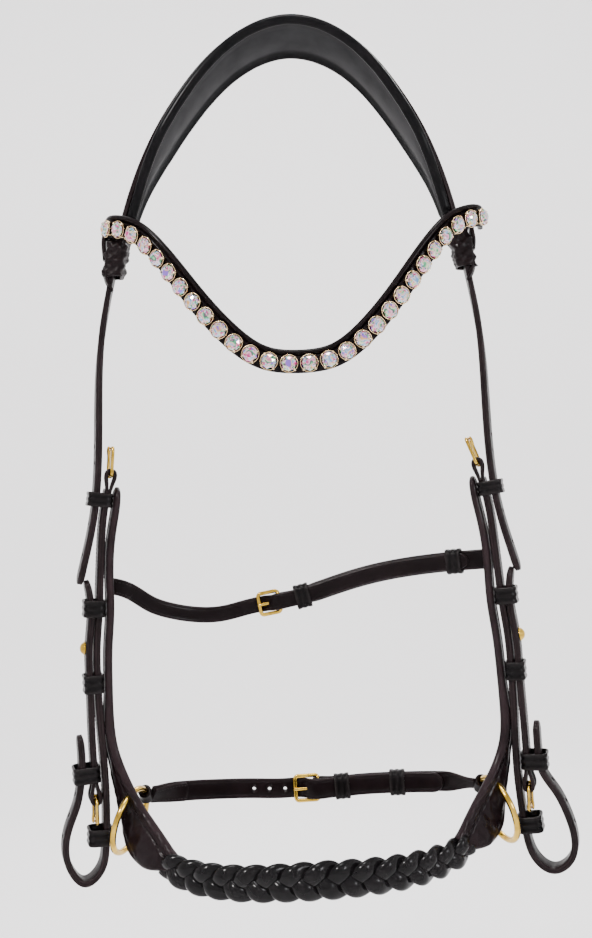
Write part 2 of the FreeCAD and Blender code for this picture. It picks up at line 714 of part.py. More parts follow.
# ---- every node -----------------------------------------------------------------------
for node, shape in (("headpiece_strap", make_headpiece()), ("headpiece_pad", make_headpiece_pad()),
                    ("browband", make_browband()), ("crystal_settings", on_browband(setting_cup())),
                    ("crystals", on_browband(crystal_stone())), ("plaited_noseband", make_plait())):
    save(node, shape)

for side, name in SIDES:
    save("cheekpiece_" + name, make_cheekpiece(side))
    save("stud_strap_" + name, make_stud_strap(side))
    save("stud_" + name, make_stud(side))
    save("noseband_side_" + name, make_noseband_side(side))
    save("noseband_ring_" + name, ring_torus(side, 0.0))
    for part, place in cheek_keepers.items():
        save(part + "_" + name, cheek_keeper(side, *place))
    for part, bar, size in (("top", top_bar, top_buckle_size), ("low", low_bar, low_buckle_size)):
        downward = part == "low"
        origin, x_dir, z_dir = bar_place(side, bar, downward)
        if not downward:
            x_dir, z_dir = leaned(top_buckle_lean[side], x_dir, z_dir)
        save(part + "_buckle_frame_" + name, placed(buckle_frame(*size), origin, x_dir, z_dir))
        save(part + "_buckle_tongue_" + name, placed(buckle_tongue(size[1]), origin, x_dir, z_dir))

make_jaw()
make_chin()
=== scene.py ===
from math import atan, copysign, cos, exp, pi, radians, sin

import bmesh
import bpy
import numpy as np
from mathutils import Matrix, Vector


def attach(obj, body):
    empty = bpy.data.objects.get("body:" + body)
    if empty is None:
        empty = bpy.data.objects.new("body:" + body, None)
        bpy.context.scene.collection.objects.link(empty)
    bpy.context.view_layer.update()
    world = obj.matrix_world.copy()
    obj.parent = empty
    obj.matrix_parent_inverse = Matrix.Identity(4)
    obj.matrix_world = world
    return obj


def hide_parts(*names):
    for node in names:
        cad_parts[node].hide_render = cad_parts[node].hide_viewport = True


# Looks of the snaffle bridle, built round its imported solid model.
# Lengths here are millimetres in the solid model's frame: +Z up, -Y to the front, origin under
# the middle of the headpiece. Every piece is turned into metres when it is made.

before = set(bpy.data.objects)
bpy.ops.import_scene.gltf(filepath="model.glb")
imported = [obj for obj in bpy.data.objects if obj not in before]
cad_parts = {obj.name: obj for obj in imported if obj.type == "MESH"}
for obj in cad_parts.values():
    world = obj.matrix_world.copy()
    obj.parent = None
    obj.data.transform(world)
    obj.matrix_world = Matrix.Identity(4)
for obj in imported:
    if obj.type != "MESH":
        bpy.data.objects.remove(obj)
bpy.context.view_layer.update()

SIDES = ((-1, "left"), (1, "right"))
UP = np.array([0.0, 0.0, 1.0])


# ---- places, as in the solid model
def lean(z):
    """Sideways place of the middle line at height z."""
    return 7e-5 * (z + 296.0) ** 2 - 6.1


def ease(a):
    a = np.clip(a, 0.0, 1.0)
    return a * a * (3.0 - 2.0 * a)


def yaw(z):
    return np.radians(18.0) * ease((-150.0 - z) / 150.0)


def outward(side, z):
    return np.array([side * cos(yaw(z)), -sin(yaw(z)), 0.0])


def rearward(side, z):
    return np.array([side * sin(yaw(z)), cos(yaw(z)), 0.0])


def cheek_point(side, u, z):
    """A point in a cheek's plane, u out from the middle."""
    offset = u - 155.0 + side * lean(z) / cos(yaw(z))
    return np.array([side * 155.0, 0.0, z]) + outward(side, z) * offset


def around(count):
    """Angles of a full turn."""
    return np.linspace(0, 2 * pi, count, endpoint=False)


def unit(v):
    v = np.asarray(v, float)
    return v / np.maximum(np.linalg.norm(v, axis=-1, keepdims=True), 1e-12)


def squared(rows, along):
    """Unit directions nearest to rows that are at right angles to along."""
    return unit(rows - along * np.sum(rows * along, axis=1, keepdims=True))


# ---- smooth lines
class Line:
    """The smooth curve through a few points. Further columns of each point are carried along."""

    def __init__(self, points):
        p = np.array(points, float)
        knots = np.concatenate([[0.0], np.cumsum(np.linalg.norm(np.diff(p[:, :3], axis=0), axis=1))])
        h = np.diff(knots)[:, None]
        slope = np.diff(p, axis=0) / h
        n = len(p)
        left = np.eye(n)
        right = np.zeros_like(p)
        for i in range(1, n - 1):
            left[i, i - 1:i + 2] = h[i - 1, 0], 2.0 * (h[i - 1, 0] + h[i, 0]), h[i, 0]
            right[i] = 6.0 * (slope[i] - slope[i - 1])
        bend = np.linalg.solve(left, right)
        t = np.linspace(0.0, knots[-1], 3000)
        k = np.clip(np.searchsorted(knots, t, side="right") - 1, 0, n - 2)
        s = (t - knots[k])[:, None]
        start = slope[k] - h[k] * (2.0 * bend[k] + bend[k + 1]) / 6.0
        self.fine = (p[k] + start * s + bend[k] / 2.0 * s ** 2
                     + (bend[k + 1] - bend[k]) / (6.0 * h[k]) * s ** 3)
        steps = np.linalg.norm(np.diff(self.fine[:, :3], axis=0), axis=1)
        self.arc = np.concatenate([[0.0], np.cumsum(steps)])
        self.length = self.arc[-1]

    def at(self, s):
        """All columns at distance s along the line."""
        s = np.atleast_1d(np.asarray(s, float))
        return np.stack([np.interp(s, self.arc, column) for column in self.fine.T], axis=1)

    def direction(self, s):
        s = np.atleast_1d(np.asarray(s, float))
        return unit(self.at(s + 0.4)[:, :3] - self.at(s - 0.4)[:, :3])

    def nearest(self, point):
        return self.arc[np.argmin(np.linalg.norm(self.fine[:, :3] - np.asarray(point), axis=1))]


def stations(length, step, tips=(0.0, 0.0)):
    """Distances along a piece, closer together where a tip is rounded over the given length."""
    first, last = tips
    middle = np.linspace(first, length - last, max(3, int((length - first - last) / step)))
    turn = np.linspace(0.0, pi / 2.0, 9)
    head = first * (1.0 - np.cos(turn[:-1])) if first else []
    tail = length - last + last * np.sin(turn[1:]) if last else []
    return np.concatenate([head, middle, tail])


def tip_factor(s, length, tips):
    """Share of the full width at distance s where the ends are rounded."""
    factor = np.ones_like(s)
    for radius, from_end in ((tips[0], s), (tips[1], length - s)):
        if radius:
            inside = np.clip(1.0 - from_end / radius, 0.0, 1.0)
            factor = np.minimum(factor, np.sqrt(np.maximum(0.02, 1.0 - inside ** 2)))
    return factor


# ---- skins
class Skin:
    """Vertices, faces and a wear value that grow as parts are added."""

    def __init__(self):
        self.points = []
        self.faces = []
        self.worn = []
        self.count = 0

    def add(self, points, faces, worn=None):
        points = np.asarray(points, float).reshape(-1, 3)
        self.points.append(points)
        self.faces.extend([tuple(i + self.count for i in face) for face in faces])
        self.worn.append(np.zeros(len(points)) if worn is None else np.asarray(worn, float).ravel())
        self.count += len(points)
        return self

    def grid(self, rows, worn=None, loop=False, caps=True):
        """A tube through rows of points. loop joins the last row to the first."""
        n, m = rows.shape[:2]
        faces = []
        for i in range(n if loop else n - 1):
            after = (i + 1) % n
            for j in range(m):
                beside = (j + 1) % m
                faces.append((i * m + j, i * m + beside, after * m + beside, after * m + j))
        if caps and not loop:
            faces.append(tuple(range(m - 1, -1, -1)))
            faces.append(tuple((n - 1) * m + j for j in range(m)))
        return self.add(rows, faces, worn)


def swept(skin, centres, along, across, sections, worn=None, loop=False):
    """Carries sections of (across, normal) offsets along centres."""
    wide = squared(across, along)
    normal = np.cross(along, wide)
    rows = (centres[:, None, :] + sections[:, :, :1] * wide[:, None, :]
            + sections[:, :, 1:2] * normal[:, None, :])
    return skin.grid(rows, worn, loop)


def added(name, data):
    """A new object in the scene."""
    obj = bpy.data.objects.new(name, data)
    bpy.context.scene.collection.objects.link(obj)
    return obj


def piece(name, skin, material, body, replaces=(), flat=False):
    """Makes a Blender object from a skin."""
    mesh = bpy.data.meshes.new(name)
    mesh.from_pydata((np.concatenate(skin.points) / 1000.0).tolist(), [], skin.faces)
    layer = mesh.attributes.new("worn", "FLOAT", "POINT")
    layer.data.foreach_set("value", np.concatenate(skin.worn).astype(np.float32))
    shell = bmesh.new()
    shell.from_mesh(mesh)
    bmesh.ops.recalc_face_normals(shell, faces=shell.faces)
    shell.to_mesh(mesh)
    shell.free()
    mesh.polygons.foreach_set("use_smooth", [not flat] * len(mesh.polygons))
    mesh.update()
    obj = added(name, mesh)
    mesh.materials.append(material)
    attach(obj, body)
    if replaces:
        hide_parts(*replaces)
    return obj


def drilled(obj, places, directions, radius=1.6, depth=16.0):
    """Cuts round strap holes through a piece."""
    cutter = bmesh.new()
    for place, direction in zip(places, directions):
        ring = bmesh.ops.create_cone(cutter, cap_ends=True, segments=20, radius1=radius / 1000.0,
                                     radius2=radius / 1000.0, depth=depth / 1000.0)
        turn = Vector((0, 0, 1)).rotation_difference(Vector(direction)).to_matrix()
        bmesh.ops.rotate(cutter, verts=ring["verts"], cent=(0, 0, 0), matrix=turn)
        bmesh.ops.translate(cutter, verts=ring["verts"], vec=Vector(np.asarray(place) / 1000.0))
    mesh = bpy.data.meshes.new("cutter")
    cutter.to_mesh(mesh)
    cutter.free()
    tool = added("cutter", mesh)
    step = obj.modifiers.new("holes", "BOOLEAN")
    step.operation = "DIFFERENCE"
    step.solver = "EXACT"
    step.object = tool
    result = bpy.data.meshes.new_from_object(obj.evaluated_get(bpy.context.evaluated_depsgraph_get()))
    obj.modifiers.clear()
    obj.data = result
    bpy.data.objects.remove(tool)


# ---- materials
def material(name, **settings):
    """A new node material with constants set on its shader."""
    made = bpy.data.materials.new(name)
    made.use_nodes = True
    shader = made.node_tree.nodes["Principled BSDF"]
    for key, value in settings.items():
        shader.inputs[key.replace("_", " ")].default_value = value
    return made, made.node_tree, shader


def linked(tree, kind, inputs=(), **settings):
    """A node with properties set and inputs linked or given."""
    node = tree.nodes.new("ShaderNode" + kind)
    for key, value in settings.items():
        setattr(node, key, value)
    for key, value in inputs:
        if isinstance(value, bpy.types.NodeSocket):
            tree.links.new(value, node.inputs[key])
        else:
            node.inputs[key].default_value = value
    return node


def ramp(tree, factor, stops):
    node = linked(tree, "ValToRGB", [("Fac", factor)])
    marks = node.color_ramp.elements
    for mark, (position, color) in zip(marks, (stops[0], stops[-1])):
        mark.position = position
        mark.color = (*color, 1.0)
    for position, color in stops[1:-1]:
        marks.new(position).color = (*color, 1.0)
    return node.outputs["Color"]


def noise(tree, place, scale, detail, distortion=0.0):
    node = linked(tree, "TexNoise", [("Vector", place), ("Scale", scale), ("Detail", detail),
                                     ("Distortion", distortion)])
    return node.outputs["Fac"]


def combined(tree, kind, operation, *values):
    """A maths node, "Math" or "VectorMath", on values or sockets."""
    return linked(tree, kind, enumerate(values), operation=operation).outputs[0]


def spread(tree, factor, low, high, start=0.0, end=1.0):
    """Maps a factor from start..end to low..high."""
    node = linked(tree, "MapRange", [("Value", factor), ("From Min", start), ("From Max", end),
                                     ("To Min", low), ("To Max", high)])
    return node.outputs["Result"]


def bumped(tree, height, strength, depth, under=None):
    """A bump depth millimetres deep, over another one if given."""
    inputs = [("Height", height), ("Strength", strength), ("Distance", depth / 1000.0)]
    if under:
        inputs.append(("Normal", under))
    return linked(tree, "Bump", inputs).outputs["Normal"]


def leather(name, dark, tint, worn, roughness, pebble, grain_depth, crease_depth=0.0, coat=0.0, dull=0.0):
    """Finished leather: mottled colour, paler worn edges, pebbled grain and fine creases."""
    made, tree, shader = material(name, Specular_IOR_Level=0.01, Coat_Weight=coat, Coat_Roughness=0.16,
                                  Coat_IOR=1.35)
    place = linked(tree, "TexCoord").outputs["Object"]
    mottle = noise(tree, place, 38.0, 5.0)
    grain = linked(tree, "TexVoronoi", [("Vector", place), ("Scale", pebble)], feature="SMOOTH_F1")
    fine = noise(tree, place, pebble * 1.9, 3.0)
    color = ramp(tree, mottle, [(0.3, dark), (0.72, tint)])
    edge = linked(tree, "Attribute", attribute_name="worn").outputs["Fac"]
    rub = combined(tree, "Math", "MULTIPLY", edge, mottle)
    mixed = linked(tree, "Mix", [("Factor", rub), ("A", color), ("B", (*worn, 1.0))], data_type="RGBA")
    tree.links.new(mixed.outputs["Result"], shader.inputs["Base Color"])
    even = spread(tree, mottle, roughness - 0.07, roughness + 0.09, 0.25, 0.75)
    tree.links.new(combined(tree, "Math", "MULTIPLY_ADD", edge, dull, even), shader.inputs["Roughness"])
    height = combined(tree, "Math", "ADD", grain.outputs["Distance"], fine)
    normal = bumped(tree, height, 0.5, grain_depth)
    if crease_depth:
        normal = bumped(tree, noise(tree, place, 150.0, 4.0, 1.4), 0.6, crease_depth, normal)
    tree.links.new(normal, shader.inputs["Normal"])
    return made


def metal(name, color, dark, roughness):
    """Polished metal with faint tarnish and fine polishing marks."""
    made, tree, shader = material(name, Metallic=1.0)
    place = linked(tree, "TexCoord").outputs["Object"]
    cloud = noise(tree, place, 120.0, 4.0)
    tree.links.new(ramp(tree, cloud, [(0.25, dark), (0.6, color)]), shader.inputs["Base Color"])
    tree.links.new(spread(tree, cloud, roughness * 0.6, roughness * 1.5), shader.inputs["Roughness"])
    tree.links.new(bumped(tree, noise(tree, place, 1600.0, 2.0), 0.12, 0.08), shader.inputs["Normal"])
    return made


def cut_crystal():
    """A coated stone: each facet takes its own fixed tint. This is painted reflection that stands in for the
    coat's colours shifting with the light, and some facets are painted dark or near white as painted dark
    reflections and glints.
    """
    made, tree, shader = material("crystal_coat_painted_sparkle", Metallic=0.8, Roughness=0.05, Coat_Weight=0.4,
                                  Coat_Roughness=0.02)
    facet = linked(tree, "NewGeometry").outputs["True Normal"]
    place = linked(tree, "TexCoord").outputs["Object"]
    both = combined(tree, "VectorMath", "ADD",
                    combined(tree, "VectorMath", "MULTIPLY", facet, (4.3, 3.1, 3.7)),
                    combined(tree, "VectorMath", "MULTIPLY", place, (60.0, 60.0, 60.0)))
    # Facet tints: painted coloured reflections for the coat, a near-black stop for painted dark reflections,
    # and near-white stops for painted glints.
    stops = [
        (0.33, (0.5, 0.03, 0.2)), (0.38, (0.93, 0.5, 0.65)), (0.415, (0.05, 0.05, 0.07)),
        (0.44, (0.06, 0.42, 0.2)), (0.475, (0.66, 0.72, 0.5)), (0.505, (0.65, 0.1, 0.28)),
        (0.53, (0.86, 0.84, 0.84)), (0.56, (0.06, 0.27, 0.55)), (0.59, (0.6, 0.62, 0.7)),
        (0.625, (0.75, 0.38, 0.05)), (0.67, (0.25, 0.12, 0.6))]
    tree.links.new(ramp(tree, noise(tree, both, 1.3, 2.0), stops), shader.inputs["Base Color"])
    return made


# Each leather: dark, usual and worn colour, roughness, pebbles per metre, grain depth, crease depth,
# coat, and how much duller it is where it is worn.
black = leather("bridle_leather", (0.003, 0.0018, 0.002), (0.0065, 0.0037, 0.0042),
                (0.02, 0.0135, 0.0145), 0.34, 1500.0, 0.05, 0.12, 0.22)
edge_black = leather("keeper_leather", (0.0022, 0.0019, 0.002), (0.0042, 0.0035, 0.0037),
                     (0.018, 0.015, 0.015), 0.24, 1200.0, 0.03, 0.35, 0.24)
padded = leather("padded_leather", (0.0042, 0.0024, 0.0028), (0.0095, 0.005, 0.006),
                 (0.024, 0.015, 0.017), 0.3, 1100.0, 0.08, 0.9, 0.3)
matte = leather("lining_leather", (0.003, 0.003, 0.0035), (0.006, 0.0055, 0.006),
                (0.033, 0.033, 0.035), 0.32, 900.0, 0.06, 0.15, 0.16, 0.4)
glossy = leather("plait_leather", (0.003, 0.0028, 0.003), (0.006, 0.005, 0.0055),
                 (0.015, 0.013, 0.0135), 0.2, 1300.0, 0.03, 0.35, 0.45)
thread = leather("thread", (0.012, 0.01, 0.01), (0.026, 0.021, 0.021), (0.05, 0.04, 0.04),
                 0.5, 3000.0, 0.05)
brass = metal("polished_brass", (0.6, 0.385, 0.06), (0.28, 0.165, 0.02), 0.14)
pale_gold = metal("pale_gold", (0.8, 0.6, 0.36), (0.45, 0.32, 0.17), 0.2)
crystal = cut_crystal()


# ---- straps
# Half of a strap's face: distance in from the edge, share of half the thickness.
FACE = [(0.0, 0.25), (0.22, 0.66), (0.7, 0.93), (1.4, 1.0), (2.0, 0.97), (2.35, 0.86), (2.7, 0.97),
        (3.6, 1.0)]


def strap_sections(widths, thickness, layers):
    """Sections of a strap with rounded creased edges. Two layers show a seam along the edge."""
    sections = []
    worn = []
    for width, thick in zip(widths, thickness):
        half = width / 2.0
        small = min(1.0, width / 9.0)
        right = [(half - inset * small, share * thick / 2.0) for inset, share in FACE]
        seam = 0.45 * small if layers == 2 else -0.05
        top = [(-w, t) for w, t in right] + [(0.0, thick / 2.0 + 0.08)] + right[::-1]
        low = [(w, -t) for w, t in right] + [(0.0, -thick / 2.0)] + [(-w, -t) for w, t in right[::-1]]
        sections.append(top + [(half - seam, 0.0)] + low + [(-half + seam, 0.0)])
        rub = [1.0, 1.0, 0.7, 0.2, 0.1, 0.3, 0.1, 0.0]
        worn.append(rub + [0.0] + rub[::-1] + [0.4] + rub + [0.0] + rub[::-1] + [0.4])
    return np.array(sections), np.array(worn)


def as_values(value, s, points):
    return value(s, points) if callable(value) else np.full(len(s), float(value))


def directions(across, points):
    return across(points) if callable(across) else np.tile(np.asarray(across, float), (len(points), 1))


def strap(skin, line, across, width, thickness, tips=(0.0, 0.0), layers=1, span=None, offset=0.0, step=2.0):
    """Adds a strap along a line, or along a span of it, to a skin."""
    first, last = span or (0.0, line.length)
    local = stations(last - first, step, tips)
    s = first + local
    points = line.at(s)[:, :3]
    along = line.direction(s)
    wide = directions(across, points)
    widths = as_values(width, s, points) * tip_factor(local, last - first, tips)
    thick = as_values(thickness, s, points) * (0.6 + 0.4 * tip_factor(local, last - first, tips))
    sections, worn = strap_sections(widths, thick, layers)
    sections[:, :, 1] += offset
    swept(skin, points, along, wide, sections, worn)
    return skin


def rod(line, across, section, step, tip):
    """A bar along a line, rounded at its far end."""
    s = stations(line.length, step, (0.0, tip))
    sections = np.array([np.array(section) * f for f in tip_factor(s, line.length, (0.0, tip))])
    return swept(Skin(), line.at(s), line.direction(s), directions(across, s), sections)


BEAD = [(-1.0, 0.05), (-0.75, 0.75), (0.0, 1.0), (0.75, 0.75), (1.0, 0.05)]


def stitches(skin, line, across, inset, rise, span, pitch=3.1):
    """A row of stitches lying on a strap's face."""
    s = np.arange(span[0], span[1], pitch)
    points = line.at(s)[:, :3]
    for place, along, w in zip(points, line.direction(s), directions(across, points)):
        w = unit(w - along * w.dot(along))
        normal = np.cross(along, w)
        middle = place + w * inset + normal * rise
        skin.grid(np.array([[middle + along * reach * pitch * 0.38
                             + (w * cos(a) + normal * 0.7 * sin(a)) * 0.42 * size for a in around(6)]
                            for reach, size in BEAD]))
    return skin


# ---- folded leather round a buckle bar
def folded_loop(skin, origin, neck, across, length, half_width, wrap, end_thickness, slot=2.3):
    """Two bands of leather that turn round a buckle's bar on each side of its tongue."""
    side_way = unit(np.cross(across, neck))
    radius = 1.9 + wrap / 2.0
    gap = end_thickness / 4.0
    half_turn = [(length + 3.0, gap), (length * 0.62, gap * 1.7 + 0.4), (1.0, radius),
                 (-radius * 0.72, radius * 0.7)]
    shape = half_turn + [(-radius, 0.0)] + [(a, -b) for a, b in half_turn[::-1]]
    for sign in (-1, 1):
        middle = origin + across * sign * (half_width + slot) / 2.0
        line = Line([middle + neck * a + side_way * b for a, b in shape])

        def thick(s, points):
            ends = np.minimum(s, line.length - s)
            return end_thickness / 2.0 + (wrap - end_thickness / 2.0) * ease(ends / length)

        strap(skin, line, across, half_width - slot, thick, step=0.9)
    return skin


# ---- metal
BAR_RADIUS = 1.5


def placed(points, origin, x_dir, z_dir):
    z_axis = unit(z_dir)
    x_axis = unit(x_dir - z_axis * np.dot(x_dir, z_axis))
    y_axis = np.cross(z_axis, x_axis)
    return origin + points[..., :1] * x_axis + points[..., 1:2] * y_axis + points[..., 2:3] * z_axis


def rounded_outline(x0, x1, y0, y1, radius, per_corner=8, per_side=6):
    """Points round a rectangle with rounded corners, and the outward direction at each."""
    corners = [(x1 - radius, y1 - radius, 0), (x0 + radius, y1 - radius, 1), (x0 + radius, y0 + radius, 2),
               (x1 - radius, y0 + radius, 3)]
    points = []
    outs = []
    for i, (x, y, quarter) in enumerate(corners):
        for a in np.linspace(quarter, quarter + 1, per_corner) * pi / 2.0:
            outs.append(np.array([cos(a), sin(a)]))
            points.append(np.array([x, y]) + radius * outs[-1])
        start = points[-1]
        end = np.array(corners[(i + 1) % 4][:2]) + radius * outs[-1]
        for share in np.linspace(0, 1, per_side + 2)[1:-1]:
            outs.append(outs[-1])
            points.append(start + (end - start) * share)
    return np.array(points), np.array(outs)


def ring_of(outline, outs, section):
    """Rows of a closed band: section gives (outward, up) offsets."""
    return np.array([[(x + ox * a, y + oy * a, b) for a, b in section]
                     for (x, y), (ox, oy) in zip(outline, outs)])


def round_section(a, b, count=14, power=0.8):
    turns = around(count)
    return [(a * copysign(abs(cos(t)) ** power, cos(t)),
             b * copysign(abs(sin(t)) ** power, sin(t))) for t in turns]


def buckle(inner_width, inner_length, *axes):
    """A cast buckle with softly rounded rails and a round bar. axes: origin, to the far rail, outward."""
    half = inner_width / 2.0
    outline, outs = rounded_outline(0.0, inner_length + 1.5, -half - 1.5, half + 1.5, 2.6)
    frame_rows = ring_of(outline, outs, round_section(1.65, 1.35))
    ends = ((-half - 1.2, 0.7), (-half - 0.6, BAR_RADIUS), (half + 0.6, BAR_RADIUS), (half + 1.2, 0.7))
    bar_rows = np.array([[(r * cos(t), y, r * sin(t)) for t in around(18)] for y, r in ends])
    return Skin().grid(placed(frame_rows, *axes), loop=True).grid(placed(bar_rows, *axes))


def tongue(inner_length, *axes):
    """A tongue with its eye round the bar and its tip on the far rail."""
    rest = 1.35
    tip = inner_length + 3.8
    line = Line([(1.9, 0, 1.7), (inner_length * 0.4, 0, 1.9), (inner_length * 0.8, 0, 2.1),
                 (inner_length + 1.2, 0, rest + 1.1), (tip - 0.6, 0, rest + 0.55)])
    body = rod(line, (0.0, 1.0, 0.0), round_section(1.25, 0.95), 1.2, 1.2)
    skin = Skin().add(placed(body.points[0], *axes), body.faces)
    outs = np.array([(cos(t), sin(t)) for t in around(28)])
    eye = ring_of(outs * 2.25, outs, round_section(0.65, 1.3, 10))
    return skin.grid(placed(eye[:, :, [0, 2, 1]], *axes), loop=True)


# ---- keepers
def keeper(inner_a, inner_b, height, origin, a_dir, up_dir, wall=1.8):
    """A leather loop with a raised rim at each end. a_dir is the direction of inner_a."""
    a = inner_a / 2.0
    b = inner_b / 2.0
    outline, outs = rounded_outline(-a, a, -b, b, 3.4, 11, 7)
    h = height / 2.0
    top = [(wall - 0.1, 0.9), (wall - 0.5, 1.7), (wall - 0.45, h - 3.3), (wall - 0.1, h - 2.4),
           (wall, h - 0.9), (wall - 0.4, h - 0.1), (0.7, h), (0.15, h - 0.3)]
    section = [(p, -q) for p, q in top[::-1]] + top
    rows = ring_of(outline, outs, section)
    rub = np.array([0, 0.5, 1, 1, 0.3, 0, 0, 0.3, 0.3, 0, 0, 0.3, 1, 1, 0.5, 0])
    return Skin().grid(placed(rows, origin, a_dir, up_dir), np.tile(rub, (len(rows), 1)), loop=True)


# ---- headpiece
# (u, z) of the outer strap from the poll to the billet's tip.
HEADPIECE = [(40, -2), (86, -48), (120, -108), (133, -146), (142.7, -188), (151, -233), (155, -292),
             (157.5, -341), (160.5, -366), (166, -392), (172, -414), (175.5, -427)]
BILLET_HOLES = [(156.4, -318), (156.9, -331), (163.1, -379), (169.3, -404)]


def headpiece_line():
    left = [cheek_point(-1, u, z) for u, z in reversed(HEADPIECE)]
    right = [cheek_point(1, u, z) for u, z in HEADPIECE]
    return Line(left + [np.array([0.0, 0.0, 10.0])] + right)


def headpiece_across(points):
    """Level on the poll, turned with the cheek lower down."""
    rows = []
    for p in points:
        level = float(ease((-p[2] - 20.0) / 130.0))
        rows.append(rearward(1 if p[0] > 0 else -1, p[2]) - UP * 0.19 * (1.0 - level))
    return np.array(rows)


def crown_width(s, points):
    return 16.0 + 20.0 * ease((points[:, 2] + 150.0) / 90.0)


def billet_thickness(s, points):
    return 4.0 + 1.1 * ease((-points[:, 2] - 190.0) / 40.0)


crown_line = headpiece_line()
skin = strap(Skin(), crown_line, headpiece_across, crown_width, billet_thickness, (9.0, 9.0), 2, step=2.5)
headpiece = piece("headpiece_strap_leather", skin, black, "bridle", ["headpiece_strap"])
places = [(side, u, z) for side, _ in SIDES for u, z in BILLET_HOLES]
drilled(headpiece, [cheek_point(*p) for p in places], [outward(p[0], -360.0) for p in places])


def pad_sections(widths, thickness):
    """The lining: a roll along each edge, a sewn groove beside it, and a soft panel between."""
    turn = np.linspace(-0.35 * pi, 0.62 * pi, 9)
    sections = []
    for width, thick in zip(widths, thickness):
        r = thick / 2.0
        edge = width / 2.0 - r
        roll = [(edge + r * cos(a), -r * sin(a)) for a in turn]
        under = [(edge - r * 1.15, -r * 0.3), (edge * 0.55, -r * 0.66), (0.0, -r * 0.78)]
        right = [(edge * 0.5, r * 0.8)] + roll + under
        left = [(-x, y) for x, y in right[::-1][1:]]
        sections.append(right + left)
    panel = [0.0] * 10 + [0.35, 1.0, 1.0, 1.0, 0.35] + [0.0] * 10
    return np.array(sections), np.tile(panel, (len(sections), 1))


PAD_END = -143.0


def crown_pad():
    reach = crown_line.arc[crown_line.fine[:, 2] > PAD_END]
    first, last = reach[0], reach[-1]
    tips = (7.0, 7.0)
    local = stations(last - first, 2.5, tips)
    s = first + local
    points = crown_line.at(s)
    factor = tip_factor(local, last - first, tips)
    widths = (22.0 + 34.0 * ease((points[:, 2] - PAD_END) / 73.0)) * factor
    soft = 1.0 + 0.02 * np.sin(s * 0.21) + 0.015 * np.sin(s * 0.53 + 1.0)
    sections, panel = pad_sections(widths, 7.8 * (0.4 + 0.6 * factor) * np.minimum(soft, 1.0))
    sections[:, :, 1] -= 6.1
    skin = Skin()
    swept(skin, points, crown_line.direction(s), headpiece_across(points), sections, panel)
    return skin


lining = piece("headpiece_lining", crown_pad(), matte, "bridle", ["headpiece_pad"])

# ---- browband
BROW = [(0, -55, -262.5), (27, -54, -258.5), (53, -51, -240), (82, -45, -205.5), (105.5, -37, -173.5),
        (121, -30, -157.5), (136.5, -19, -149.5), (145.8, -8, -147), (149, 3, -147)]
brow_line = Line([(-x, y, z) for x, y, z in BROW[:0:-1]] + BROW)


def brow_frames(s):
    """Centre, direction, upward and forward directions on the crystal row."""
    centres = brow_line.at(s)
    along = brow_line.direction(s)
    sideways = centres[:, 0] * np.abs(centres[:, 0]) / 12000.0
    front = np.stack([sideways, -np.ones(len(s)), np.zeros(len(s))], axis=1)
    front = squared(front, along)
    return centres, along, unit(np.cross(front, along)), front


def browband_skin():
    """A band whose upper edge is a padded roll standing above the crystals."""
    s = stations(brow_line.length, 2.0)
    centres, along, up, front = brow_frames(s)
    turn = np.linspace(-0.55 * pi, 0.6 * pi, 9)
    roll = [(8.3 + 2.65 * cos(a), -2.65 * sin(a)) for a in turn]
    outline = [(-6.9, 0.0), (-6.6, 1.5), (-5.9, 2.1), (0.0, 2.2), (4.9, 2.1), (5.6, 1.7)] + roll[::-1] \
        + [(5.6, -1.7), (4.9, -2.1), (0.0, -2.2), (-5.9, -2.1), (-6.6, -1.5)]
    rows = np.array([[c + u * a + f * b for a, b in outline] for c, u, f in zip(centres, up, front)])
    return Skin().grid(rows)


piece("browband_leather", browband_skin(), black, "browband_set", ["browband"])

GEMS = 28


def stone():
    """A cut stone on z = 0: table, star, bezel and girdle facets over a pointed back."""
    rings = [(2.9, 6.4, 0.0), (4.9, 5.4, 0.5), (6.1, 3.9, 0.0), (6.1, 3.5, 0.0), (2.4, 1.4, 0.5)]
    rows = []
    for radius, z, shift in rings:
        turns = (np.arange(8) + shift) * pi / 4.0
        rows.append([(radius * cos(a), radius * sin(a), z) for a in turns])
    faces = [tuple(range(8)), tuple(range(39, 31, -1))]
    for i in range(4):
        shifted = rings[i][2] != rings[i + 1][2]
        for j in range(8):
            a, b = i * 8 + j, i * 8 + (j + 1) % 8
            if not shifted:
                faces.append((a, a + 8, b + 8, b))
            elif rings[i + 1][2] > rings[i][2]:
                faces += [(a, a + 8, b), (b, a + 8, 8 * (i + 1) + (j + 1) % 8)]
            else:
                below = 8 * (i + 1) + (j + 1) % 8
                faces += [(a, below, b), (a, a + 8, below)]
    return np.array(rows), faces


def setting():
    """A claw cup on z = 0."""
    skin = Skin()
    turns = around(24)
    profile = [(5.9, 0.0), (6.8, 2.7), (6.9, 3.1), (6.55, 3.25), (6.2, 2.9), (5.3, 0.7)]
    cup = np.array([[(r * cos(a), r * sin(a), z) for r, z in profile] for a in turns])
    skin.grid(cup, loop=True)
    for a in around(4) + pi / 4.0:
        out = np.array([cos(a), sin(a), 0.0])
        line = Line([out * 6.8 + UP * 0.4, out * 6.95 + UP * 2.8, out * 6.5 + UP * 4.2, out * 5.4 + UP * 4.9])
        claw = rod(line, np.cross(UP, out), round_section(0.75, 0.42, 10), 0.7, 0.8)
        skin.add(claw.points[0], claw.faces)
    return skin


def on_browband(points, faces):
    """Copies a small form to every crystal's place."""
    skin = Skin()
    middles = (np.arange(GEMS) + 1.0) / (GEMS + 1) * brow_line.length
    for centre, _, up, front in zip(*brow_frames(middles)):
        skin.add(placed(points, centre + front * 2.35, np.cross(up, front) * -1.0, front), faces)
    return skin


rows, faces = stone()
piece("crystal_row", on_browband(rows, faces), crystal, "browband_set", ["crystals"], flat=True)
cup = setting()
piece("crystal_claws", on_browband(np.concatenate(cup.points), cup.faces), pale_gold, "browband_set",
      ["crystal_settings"])


